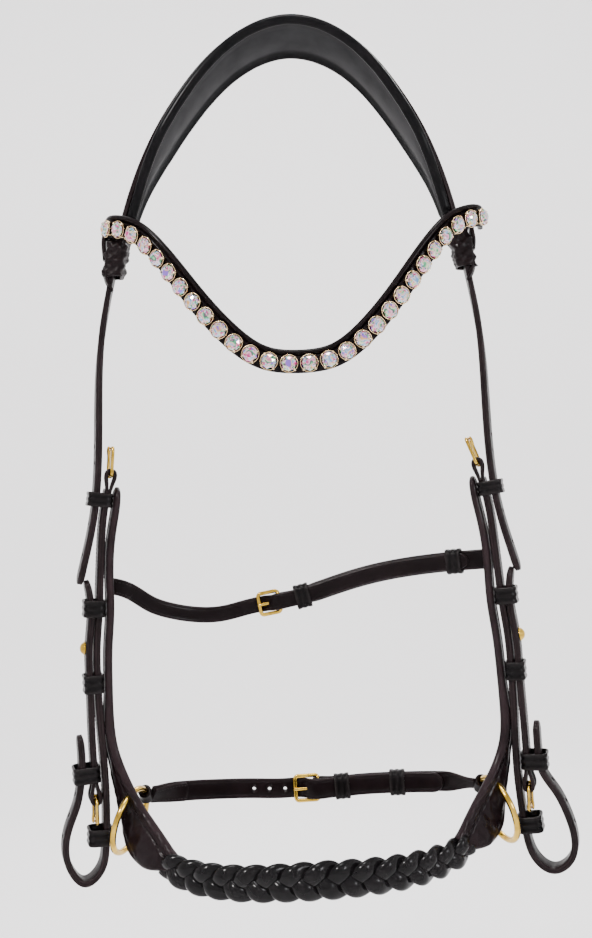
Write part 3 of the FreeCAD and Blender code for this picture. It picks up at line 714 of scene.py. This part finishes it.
def browband_end(side):
    """The gathered leather loop that the headpiece passes through, with its short tail."""
    skin = Skin()
    z = -170.0
    centre = cheek_point(side, 138.3, z)
    outline, outs = rounded_outline(-8.6, 8.6, -11.6, 11.6, 5.0, 8, 8)
    turns = np.arange(len(outline)) / len(outline) * 2 * pi
    levels = np.linspace(-14.0, 17.5, 22)
    outer, inner = [], []
    for level in levels:
        pinch = 1.0 - 0.09 * exp(-((level + 3.0) / 5.0) ** 2) - 0.10 * abs(level / 14.0) ** 3
        crease = (0.7 * np.sin(2 * turns + level * 0.55) + 0.55 * np.sin(5 * turns - level * 0.8 + 1.3)
                  + 0.3 * np.sin(9 * turns + level * 1.1))
        slide = np.array([side * 0.21 * -level, 0.0, level])
        for rows, drop in ((outer, 0.0), (inner, 1.1)):
            grown = outline * pinch + outs * (crease - drop)[:, None]
            rows.append([centre + slide + np.array([x, y, 0.35 * sin(3 * t + side)])
                         for (x, y), t in zip(grown, turns)])
    loop = np.concatenate([np.array(outer), np.array(inner)[::-1]])
    skin.grid(loop, np.full(loop.shape[:2], 0.5), loop=True)
    top = centre + np.array([side * 7.0, -6.5, -8.0])
    tail = Line([top, top + (side * 0.6, -0.6, -7.0), top + (-side * 1.5, -0.4, -13.0),
                 top + (-side * 4.5, 0.6, -17.5)])
    strap(skin, tail, np.array([side * 0.35, 1.0, 0.0]), 8.0, 2.0, (0.0, 3.0), step=1.2)
    root = Line([brow_line.at(0.0 if side < 0 else brow_line.length)[0, :3] + (0, -3, 1.5),
                 centre + (side * 8.4, 0.5, 19.0), centre + (side * 9.2, 1.0, 9.0),
                 centre + (side * 8.6, 1.0, 0.0)])
    strap(skin, root, np.array([0.0, 1.0, 0.0]), 11.0, 3.2, (4.0, 0.0), step=1.5)
    return skin


for side, name in SIDES:
    piece("browband_loop_" + name, browband_end(side), black, "browband_set")

# ---- cheeks
SPLAY = {-1: -2.5, 1: 3.0}
TOP_BAR = (147.5, -341.0)
LOW_BAR = (173.5, -597.0)
TOP_LEAN = {-1: 5.0, 1: 22.0}
BIT_HOLES = [(187.0, -592), (194.0, -608), (200.0, -624)]
STUD_STRAP = [(170.0, -424), (167.8, -440), (168.4, -458), (171.0, -478), (171.9, -506), (172.8, -542),
              (173.2, -575), (173.3, -584)]


def cheekpiece_path(side):
    """(u, z) from the top buckle down, round the bit loop and up to the tip."""
    s = SPLAY[side]
    return [(149.6, -352.5), (151.6, -360), (154.0, -371), (157.6, -402), (159.6, -426), (161.6, -450),
            (164.8, -478), (165.8, -506), (165.8, -534), (165.2, -562), (165.2, -590), (166.6, -616),
            (168.8, -637), (174.5, -654), (187.0, -662), (199 + s, -652), (202.5 + s, -635),
            (198.5 + s, -617), (191 + s, -600), (184.4, -584), (182.4, -570), (182.4, -546)]


def cheek_line(side, path):
    return Line([cheek_point(side, u, z) for u, z in path])


def leaned(degrees, x_dir, z_dir):
    turn = radians(degrees)
    return x_dir * cos(turn) - z_dir * sin(turn), z_dir * cos(turn) + x_dir * sin(turn)


def dome(centre, out):
    """A domed stud with a low rim, its shank and the washer behind."""
    profile = [(0.0, 4.3), (1.6, 4.15), (3.0, 3.5), (4.2, 2.4), (4.75, 1.4), (5.3, 1.15), (5.5, 0.6),
               (5.3, 0.2), (1.5, 0.0), (1.5, -4.6), (3.6, -4.6), (3.6, -5.3), (0.0, -5.3)]
    turns = around(32)
    rows = np.array([[(max(r, 0.02) * cos(a), max(r, 0.02) * sin(a), z) for a in turns] for r, z in profile])
    return Skin().grid(placed(rows, centre + out * 2.5, UP, out))


thread_skin = Skin()
for side, name in SIDES:
    across = rearward(side, -400.0)
    out = outward(side, -400.0)
    line = cheek_line(side, cheekpiece_path(side))
    skin = strap(Skin(), line, across, 16.0, 5.2, (0.0, 9.0), 2)
    origin = cheek_point(side, *TOP_BAR)
    neck = cheek_point(side, 149.6, -352.5) - origin
    folded_loop(skin, origin, unit(neck), across, np.linalg.norm(neck), 8.0, 3.0, 4.5)
    cheek = piece("cheekpiece_leather_" + name, skin, black, "bridle", ["cheekpiece_" + name])
    places = [cheek_point(side, u + SPLAY[side] * 0.8, z) for u, z in BIT_HOLES]
    drilled(cheek, places, [outward(side, -600.0)] * len(places))

    stud_line = cheek_line(side, STUD_STRAP)
    skin = strap(Skin(), stud_line, across, 16.0, 4.9, (9.0, 0.0), 2)
    origin = cheek_point(side, *LOW_BAR)
    neck = cheek_point(side, 173.3, -584.0) - origin
    folded_loop(skin, origin, unit(neck), across, np.linalg.norm(neck), 8.0, 3.0, 4.0)
    piece("stud_strap_leather_" + name, skin, black, "bridle", ["stud_strap_" + name])

    s = stud_line.nearest(cheek_point(side, 171.0, -478.0))
    normal = unit(np.cross(stud_line.direction(s)[0], across)) * side
    piece("stud_dome_" + name, dome(stud_line.at(s)[0], normal), brass, "bridle", ["stud_" + name])

    for part, bar, size, directions_out in (
            ("top", TOP_BAR, (17.0, 19.5), leaned(TOP_LEAN[side], UP, outward(side, TOP_BAR[1]))),
            ("low", LOW_BAR, (17.0, 16.5), (UP * -1.0, outward(side, LOW_BAR[1])))):
        axes = (cheek_point(side, *bar), *directions_out)
        piece(part + "_buckle_" + name, buckle(*size, *axes), brass,
              part + "_frame_" + name, [part + "_buckle_frame_" + name])
        piece(part + "_tongue_piece_" + name, tongue(size[1], *axes), brass,
              part + "_tongue_" + name, [part + "_buckle_tongue_" + name])

    # (node, opening from, to, height of the middle, height, slope, body)
    for node, u_in, u_out, z, height, slope, body in (
            ("top_keeper_", 148.7, 164.4, -360.5, 11.5, 8.0, "bridle"),
            ("upper_cheek_keeper_", 158.1, 171.7, -446.5, 13.5, 3.5, "cheek_keeper_slider_" + name),
            ("lower_cheek_keeper_", 163.0, 174.8, -506.0, 14.5, 0.5, "bridle"),
            ("bit_upper_keeper_", 170.6, 187.6, -577.0, 13.0, 0.0, "bridle"),
            ("bit_lower_keeper_", 164.3, 179.8, -627.0, 13.0, 5.0, "bit_keeper_slider_" + name)):
        turn = radians(slope) - side * atan(1.4e-4 * (z + 296.0))
        level_out = outward(side, z)
        up_dir = UP * cos(turn) - level_out * sin(turn)
        middle = cheek_point(side, (u_in + u_out) / 2.0, z)
        skin = keeper(u_out - u_in + 0.7, 17.2, height, middle, level_out, up_dir)
        piece(node + "leather_" + name, skin, edge_black, body, [node + name])

    for row_line, rise, span in ((line, 2.6, (2.0, 245.0)), (stud_line, 2.4, (12.0, stud_line.length - 4.0))):
        for inset in (5.4, -5.4):
            stitches(thread_skin, row_line, across, inset, rise, span)
            stitches(thread_skin, row_line, across, inset, -rise, span)

# ---- noseband
NOSE_TILT = 0.035
# (u, z, width, thickness), then (place, direction towards the front edge, width, thickness).
CHEEK_STATIONS = [
    (142.0, -351, 11.0, 4.8), (142.8, -357, 17.0, 5.4), (144.0, -366, 18.0, 6.0),
    (147.4, -383, 18.0, 6.2), (150.4, -402, 18.0, 6.2), (151.9, -426, 18.0, 6.2),
    (152.5, -448, 18.0, 6.2), (155.6, -478, 18.0, 6.2), (157.2, -506, 18.0, 6.2),
    (158.0, -534, 19.0, 6.2)]
LEAF_STATIONS = [
    ((156.6, -2.0, -558), (-0.34, -0.93, 0.10), 21.0, 6.4),
    ((150.5, -8.0, -582), (-0.50, -0.78, 0.38), 24.0, 6.6),
    ((140.5, -18.0, -605), (-0.60, -0.52, 0.61), 29.0, 7.0),
    ((129.0, -29.5, -622), (-0.62, -0.34, 0.71), 31.0, 7.4),
    ((118.0, -39.5, -633), (-0.52, -0.22, 0.83), 28.0, 8.0),
    ((110.0, -45.8, -637.5), (-0.30, -0.12, 0.95), 23.0, 9.0)]


def noseband_line(side):
    """Columns: place, direction towards the front edge, width, thickness, and how far it is a leaf."""
    rows = []
    for u, z, width, thick in CHEEK_STATIONS:
        rows.append([*cheek_point(side, u, z), *(-rearward(side, z)), width, thick, 0.0])
    for i, ((x, y, z), (ax, ay, az), width, thick) in enumerate(LEAF_STATIONS):
        z += NOSE_TILT * side * x * float(ease((-z - 560.0) / 60.0))
        rows.append([side * x + lean(z), y, z, side * ax, ay, az, width, thick, min(1.0, 0.25 + 0.3 * i)])
    return Line(rows)


def columns_across(line):
    """Width direction of the side piece at the nearest place on its line."""
    def across(points):
        return np.array([line.at(line.nearest(p))[0, 3:6] for p in points])
    return across


def outward_swell(z, leaf):
    """How much thicker the outer face is below the cheek keepers, before the leaf."""
    return 1.0 + 0.6 * ease((-z - 511.0) / 34.0) * (1.0 - leaf)


def noseband_seam(line, side):
    """The row of stitches beside the rolls of the front edge, on the outer face."""
    s = np.linspace(0.0, line.length, 60)
    columns = line.at(s)
    along = line.direction(s)
    wide = squared(columns[:, 3:6], along)
    out = np.cross(along, wide) * -side
    leaf = np.clip(columns[:, 8:9], 0.0, 1.0)
    inset = columns[:, 6:7] / 2.0 - 4.7 - 3.4 * leaf
    rise = columns[:, 7:8] / 2.0 * (0.86 - 0.2 * leaf) * outward_swell(columns[:, 2:3], leaf)
    return Line(columns[:, :3] + wide * inset + out * rise)


def bump(w, middle, reach, height):
    return height * np.maximum(0.0, 1.0 - ((w - middle) / reach) ** 2) ** 0.5


def noseband_side(side):
    """Padded side piece: rolls along its front edge, a sewn seam, and a soft face that ends as a leaf."""
    line = noseband_line(side)
    tips = (6.0, 0.0)
    s = stations(line.length, 1.6, tips)
    columns = line.at(s)
    factor = tip_factor(s, line.length, tips)
    sections = []
    share = np.linspace(-1.0, 1.0, 41)
    for i, (width, thick, leaf) in enumerate(columns[:, 6:9]):
        half = width * factor[i] / 2.0
        w = share * half
        w = np.where(w < 0.0, w * (1.0 - 0.76 * float(ease((s[i] - line.length + 24.0) / 24.0))), w)
        belly = 8.0 * leaf * exp(-((s[i] - line.length + 42.0) / 19.0) ** 2)
        w = np.where(w < 0.0, w - belly * share ** 2, w)
        thick = thick * (0.5 + 0.5 * factor[i])
        reach = np.where(share < 0.0, -w[0], half)
        rim = np.sqrt(np.maximum(0.0, 1.0 - np.clip((np.abs(w) - reach + 2.6) / 2.6, 0.0, 1.0) ** 2))
        roll = bump(w, half - 1.9, 2.0, 1.0) + bump(w, half - 5.5, 1.9, 0.9)
        puff = bump(w, -half * 0.3, half * 0.85, 1.0)
        wave = 0.35 * sin(s[i] * 0.55)
        seam = np.exp(-((w - (half - 8.3 + wave)) / 0.6) ** 2)
        cheek_face = (bump(w, half - 2.4, 2.5, 0.9) + bump(w, -half + 2.4, 2.5, 0.9)
                      + bump(w, 0.0, half - 4.6, 0.8))
        leaf_face = roll + 0.95 * puff * (w < half - 7.2) - 0.6 * seam
        face = (1.0 - leaf) * np.clip(cheek_face, 0.0, 0.95) + leaf * np.clip(leaf_face, 0.0, 1.0)
        fold = (0.07 * np.sin(s[i] * 0.33 + 2.0 + share * 1.7) + 0.05 * np.sin(s[i] * 0.91 - share * 2.3)
                + 0.05 * np.sin(s[i] * 0.52 + share * 5.0))
        rim = np.maximum(rim, 0.12)
        relief = 0.5 - 0.18 * leaf + (0.5 + 0.18 * leaf) * face + fold * leaf
        up = outward_swell(columns[i, 2], leaf) * thick / 2.0 * relief * rim
        down = -thick / 2.0 * (0.86 + 0.12 * bump(w, 0.0, half, 1.0)) * rim
        sections.append(np.stack([np.concatenate([w, w[::-1]]), np.concatenate([up, down[::-1]])], axis=1))
    sections = np.array(sections)
    if side < 0:
        sections[:, :, 1] *= -1.0
    worn = np.tile(np.concatenate([np.abs(share) ** 8, np.abs(share[::-1]) ** 8]), (len(s), 1))
    skin = Skin()
    swept(skin, columns[:, :3], line.direction(s), columns[:, 3:6], sections * (1.0, -1.0), worn)
    seam_row = noseband_seam(line, side)
    stitches(thread_skin, seam_row, columns_across(line), 0.0, 0.0, (6.0, seam_row.length - 10.0), 2.8)
    return skin


RING_RADIUS = 25.5
RING_TILT = radians(15.0)
RING_TWIST = radians(20.0)
SLEEVE_TURN = radians(38.0)
SLEEVE_WIDTH = 11.0


def ring_frame(side):
    """Centre, axis, upward and rearward directions of a noseband ring."""
    centre = np.array([side * 146.5 + lean(-616.0), -5.0, -616.0])
    level = np.array([side * cos(RING_TWIST), sin(RING_TWIST), 0.0])
    rear = np.array([-side * sin(RING_TWIST), cos(RING_TWIST), 0.0])
    axis = level * cos(RING_TILT) + UP * sin(RING_TILT)
    return centre, axis, UP * cos(RING_TILT) - level * sin(RING_TILT), rear


def ring_arc(side, start, end, radius, section, count):
    """A tube along the ring from angle start to end, counted from the rear towards the top."""
    centre, axis, up, rear = ring_frame(side)
    rows = []
    for a in np.linspace(start, end, count):
        out = rear * cos(a) + up * sin(a)
        middle = centre + out * radius
        rows.append([middle + out * p + axis * q for p, q in section])
    return np.array(rows)


for side, name in SIDES:
    leaf = piece("noseband_padded_" + name, noseband_side(side), padded, "bridle",
                 ["noseband_side_" + name])
    steps = 96
    wire = round_section(2.5, 2.5, 18, 1.0)
    ring = Skin().grid(ring_arc(side, 0.0, 2 * pi * (steps - 1) / steps, RING_RADIUS, wire, steps), loop=True)
    piece("noseband_ring_metal_" + name, ring, brass, "ring_" + name, ["noseband_ring_" + name])

PLAIT = [(118.0, -40.5, -634.5), (108.0, -47.5, -637.5), (88.0, -61.5, -640.0), (55.0, -77.0, -640.0),
         (0.0, -85.5, -638.5)]

PLAIT_PERIOD = 52.0


def plait_line():
    points = [(-x, y, z) for x, y, z in PLAIT[:-1]] + PLAIT[::-1]
    return Line([(x + lean(z), y, z + NOSE_TILT * x) for x, y, z in points])


def plait():
    """Three flat laces plaited into a thick bar that narrows to its ends."""
    line = plait_line()
    skin = Skin()
    s = np.linspace(0.5, line.length - 0.5, 240)
    along = line.direction(s)
    back = unit(np.cross(UP, along))
    up = np.cross(along, back)
    size = np.interp(s / line.length, (0.0, 0.035, 0.14, 0.5, 0.86, 0.965, 1.0),
                     (0.6, 0.92, 1.0, 1.1, 1.0, 0.92, 0.6))
    for k in range(3):
        phase = 2 * pi * (s / PLAIT_PERIOD + k / 3.0)
        lift = 6.9 * size * np.sin(phase)
        depth = -3.0 * size * np.sin(2.0 * phase)
        path = line.at(s)[:, :3] + up * lift[:, None] + back * depth[:, None]
        heading = unit(np.gradient(path, axis=0))
        across = np.cross(back, heading)
        sections = []
        for g in size:
            half = 6.3 * g
            thick = 3.5 * g
            w = np.sin(np.linspace(-pi / 2.0, pi / 2.0, 15))
            crown = np.maximum(0.0, 1.0 - np.abs(w) ** 2.2) ** 0.62
            top = np.stack([w * half, thick * crown], axis=1)
            low = np.stack([w[::-1] * half, -thick * crown[::-1]], axis=1)[1:-1]
            sections.append(np.concatenate([top, low]))
        swept(skin, path, heading, across, np.array(sections))
    return skin


piece("plaited_bar", plait(), glossy, "bridle", ["plaited_noseband"])

# ---- jaw strap and chin strap
def facing(along):
    """The way a back strap's outer face looks."""
    return unit(np.cross(along, UP))


class BuckledStrap:
    """A strap across the back: a long billet from the left goes through the buckle on the right part."""

    def __init__(self, bar, rise, size, billet_width, width, left, right, tip_x):
        turn = radians(rise)
        self.bar = np.array(bar, float)
        self.along = np.array([cos(turn), 0.0, sin(turn)])
        self.front = np.array([0.0, -1.0, 0.0])
        self.size = size
        self.billet_width = billet_width
        self.width = width
        self.thickness = 3.0
        self.lift = 3.8
        self.right = Line([self.at(-9.0, 0), self.at(-16.0, 0), *right])
        length = size[1]
        under = -3.3
        over = 6.3
        crossing = [self.at(x, n) for x, n in (
            (length + 9.0, under), (length + 0.5, under - 0.1), (length / 2.0 + 3.0, under + 2.1),
            (5.0, over - 1.8), (0.0, over), (-7.0, over - 0.9), (-12.5, self.lift + 0.3))]
        s = np.arange(12.0, self.right.length, 12.0)
        lifted = self.right.at(s)[:, :3] + facing(self.right.direction(s)) * self.lift
        self.billet = Line([*left, *crossing, *(p for p in lifted if p[0] < tip_x)])

    def at(self, x, n):
        return self.bar - self.along * x + self.front * n

    def axes(self):
        return self.bar, self.along * -1.0, self.front

    def keeper(self, x, play):
        s = self.right.arc[np.argmin(np.abs(self.right.fine[:, 0] - self.bar[0] - x))]
        along = self.right.direction(s)[0]
        front = facing(along)
        depth = self.thickness + self.lift + play
        middle = self.right.at(s)[0] + front * self.lift / 2.0
        return keeper(depth, self.width + 1.2, 12.5, middle, front, along)


def turned(line_end, end_across, reach=28.0):
    """Upright width direction that turns to end_across near one end."""
    def across(points):
        share = ease(1.0 - np.linalg.norm(points - line_end, axis=1) / reach)[:, None]
        return UP * (1.0 - share) + end_across * share
    return across


def sleeve_place(side):
    """Middle of the chin strap's loop on the ring, and the wire's direction there."""
    centre, _, up, rear = ring_frame(side)
    out = rear * cos(SLEEVE_TURN) + up * sin(SLEEVE_TURN)
    return centre + out * RING_RADIUS, up * cos(SLEEVE_TURN) - rear * sin(SLEEVE_TURN)


def sleeve(skin, side):
    """The loop of leather that turns round the ring's wire, from radius 3.0 to 5.4."""
    half = SLEEVE_WIDTH / 2.0 / RING_RADIUS
    outer_rows, inner_rows = [
        ring_arc(side, SLEEVE_TURN - half, SLEEVE_TURN + half, RING_RADIUS, round_section(r, r, 22, 1.0), 9)
        for r in (5.4, 3.0)]
    skin.grid(np.concatenate([outer_rows, inner_rows[::-1]]), loop=True)


def ring_end(side, towards):
    middle = sleeve_place(side)[0]
    return middle + unit(np.asarray(towards, float) - middle) * 4.2


JAW_LEFT = [(-160, 12.4, -430.5), (-150, 13.6, -433.0), (-140, 17.5, -438.5), (-128, 25, -448),
            (-113, 33, -455), (-97, 40, -459.3), (-72, 48, -461)]
JAW_RIGHT = [(20, 49.5, -441.5), (52, 44.5, -432), (84, 36, -425.5), (119, 24, -421), (140, 16, -419.2),
             (154, 12.2, -418.3)]
CHIN_LEFT = [(-124, 19.5, -601.8), (-112, 25, -602.9), (-96, 31, -604), (-76, 36, -605.2),
             (-48, 39.5, -606.5)]
CHIN_RIGHT = [(38, 38, -605), (72, 34.5, -603.2), (102, 27.5, -601.7), (122, 20, -601)]

jaw = BuckledStrap((-22.5, 51.5, -452.0), 10.0, (15.0, 15.5), 13.2, 16.0, JAW_LEFT, JAW_RIGHT, 136.0)
chin = BuckledStrap((5.5, 39.0, -607.0), 2.0, (17.5, 17.5), 16.5, 16.5,
                    [ring_end(-1, CHIN_LEFT[0])] + CHIN_LEFT, CHIN_RIGHT + [ring_end(1, CHIN_RIGHT[-1])], 112.0)


def finish_strap(self, label, right_across, left_across, sleeves):
    """Makes a back strap's two leather parts, the sleeves round the rings if asked, and its buckle and tongue.
    """
    billet = Skin()
    strap(billet, self.billet, left_across, self.billet_width, self.thickness, (0.0, 9.0), 1, step=1.8)
    chape = Skin()

    def width(s, points):
        from_bar = points[:, 0] - self.bar[0]
        own = self.billet_width + (self.width - self.billet_width) * ease((from_bar - 12.0) / 22.0)
        if sleeves:
            own = SLEEVE_WIDTH + (own - SLEEVE_WIDTH) * ease((self.right.length - s - 3.0) / 22.0)
        return own

    strap(chape, self.right, right_across, width, self.thickness, (0.0, 0.0), 1, step=1.8)
    folded_loop(chape, self.bar, self.along, UP - self.along * self.along[2], 12.0,
                self.billet_width / 2.0, 2.5, 3.0)
    if sleeves:
        sleeve(billet, -1)
        sleeve(chape, 1)
    made = piece(label + "_billet_leather", billet, black, "bridle", [label + "_strap_billet"])
    piece(label + "_chape_leather", chape, black, "bridle", [label + "_strap_chape"])
    piece(label + "_buckle", buckle(*self.size, *self.axes()), brass, "bridle",
          [label + "_buckle_frame"])
    piece(label + "_tongue", tongue(self.size[1], *self.axes()), brass, "bridle",
          [label + "_buckle_tongue"])
    return made


def lapped(strap_line, across, width, span):
    """A second layer sewn on a strap's outer face, with a stepped end."""
    skin = Skin()
    strap(skin, strap_line, across, width, 2.4, (1.0, 3.0), 1, span, 2.4, 1.2)
    for inset in (width / 2.0 - 2.4, 2.4 - width / 2.0):
        stitches(thread_skin, strap_line, across, inset, 3.55, (span[0] + 2.0, span[1] - 1.5), 2.6)
    return skin


finish_strap(jaw, "jaw", UP, UP, False)
chin_left_across = turned(chin.billet.at(0.0)[0], sleeve_place(-1)[1])
chin_right_across = turned(chin.right.at(chin.right.length)[0], sleeve_place(1)[1])
chin_billet = finish_strap(chin, "chin", chin_right_across, chin_left_across, True)
chin_holes = [chin.billet.at(chin.billet.nearest((x, 39.0, -606.5)))[0] for x in (-48.0, -35.0, -22.0)]
drilled(chin_billet, chin_holes, [chin.front] * 3, 1.5)
piece("jaw_lap_left", lapped(jaw.billet, UP, 13.2, (1.0, 21.0)), black, "bridle")
piece("chin_lap_left", lapped(chin.billet, chin_left_across, 15.5, (1.0, 32.0)), black, "bridle")
for made, label, running_x in ((jaw, "jaw", 145.5), (chin, "chin", 66.0)):
    for kind, x, play, body in (("_fixed", 20.0, 1.6, "bridle"),
                                ("_running", running_x, 2.3, label + "_keeper_slider")):
        piece(label + kind + "_keeper_leather", made.keeper(x, play), edge_black, body,
              [label + kind + "_keeper"])

piece("stitching", thread_skin, thread, "bridle")

# ---- stage
# Lights: name, place, aim, size (metres), power (watts) and colour.
LIGHTS = [
    ("key", (-0.9, -1.5, 1.0), (0, 0, -0.3), 0.3, 46.0, (1.0, 0.985, 0.96)),
    ("fill", (1.3, -1.3, 0.1), (0, 0, -0.35), 0.45, 14.0, (0.95, 0.97, 1.0)),
    ("top", (0.0, -0.5, 1.3), (0, 0.1, -0.3), 0.5, 18.0, (1.0, 1.0, 1.0)),
    ("back", (0.6, 1.8, 0.9), (0, 0, -0.3), 0.6, 18.0, (1.0, 1.0, 1.0)),
    ("wall_light", (0.0, 0.9, 1.2), (0, 3.0, -0.4), 1.6, 55.0, (1.0, 0.985, 0.965))]
# The camera looks along +Y, turned a little about that axis as the photographer held it.
EYE_PLACE = (-0.0048, -0.875, -0.341)
EYE_RIGHT = (0.9995, 0.0, -0.0314)
EYE_UP = (0.0314, 0.0, 0.9995)
EYE_BACK = (0.0, -1.0, 0.0)


def backdrop():
    """A pale round studio: a floor that curves up into a wall, the same on every side."""
    profile = Line([(0.0, 0.0, -1050.0), (1500.0, 0.0, -1050.0), (2500.0, 0.0, -1000.0),
                    (2950.0, 0.0, -600.0), (3050.0, 0.0, 200.0), (3050.0, 0.0, 2400.0)])
    rows = profile.at(np.linspace(1.0, profile.length, 60))[:, (0, 2)] / 1000.0
    n = 96
    points = [(r * cos(t), r * sin(t), z) for r, z in rows for t in around(n)]
    faces = [(i * n + j, i * n + (j + 1) % n, (i + 1) * n + (j + 1) % n, (i + 1) * n + j)
             for i in range(len(rows) - 1) for j in range(n)]
    mesh = bpy.data.meshes.new("backdrop")
    mesh.from_pydata(points, [], [tuple(range(n))] + faces)
    mesh.polygons.foreach_set("use_smooth", [True] * len(mesh.polygons))
    wall = added("backdrop", mesh)
    made, tree, shader = material("painted_wall", Roughness=0.9)
    place = linked(tree, "TexCoord").outputs["Object"]
    pale = [(0.3, (0.87, 0.86, 0.865)), (0.7, (0.9, 0.89, 0.895))]
    tree.links.new(ramp(tree, noise(tree, place, 0.8, 3.0), pale), shader.inputs["Base Color"])
    mesh.materials.append(made)


def stage():
    backdrop()
    for name, place, aim, size, power, color in LIGHTS:
        light = bpy.data.lights.new(name, "AREA")
        light.size = size
        light.energy = power
        light.color = color
        lamp = added(name, light)
        lamp.location = place
        lamp.rotation_euler = (Vector(aim) - Vector(place)).to_track_quat("-Z", "Y").to_euler()
        lamp.visible_camera = False
    world = bpy.data.worlds.new("studio")
    world.use_nodes = True
    sky = world.node_tree.nodes["Background"]
    sky.inputs["Color"].default_value = (0.97, 0.98, 1.0, 1)
    sky.inputs["Strength"].default_value = 1.2
    bpy.context.scene.world = world
    camera = bpy.data.cameras.new("camera")
    camera.sensor_width = 36.0
    camera.lens = 42.0
    camera.clip_start = 0.05
    eye = added("camera", camera)
    eye.matrix_world = Matrix([*zip(EYE_RIGHT, EYE_UP, EYE_BACK, EYE_PLACE), (0.0, 0.0, 0.0, 1.0)])
    bpy.context.scene.camera = eye


stage()
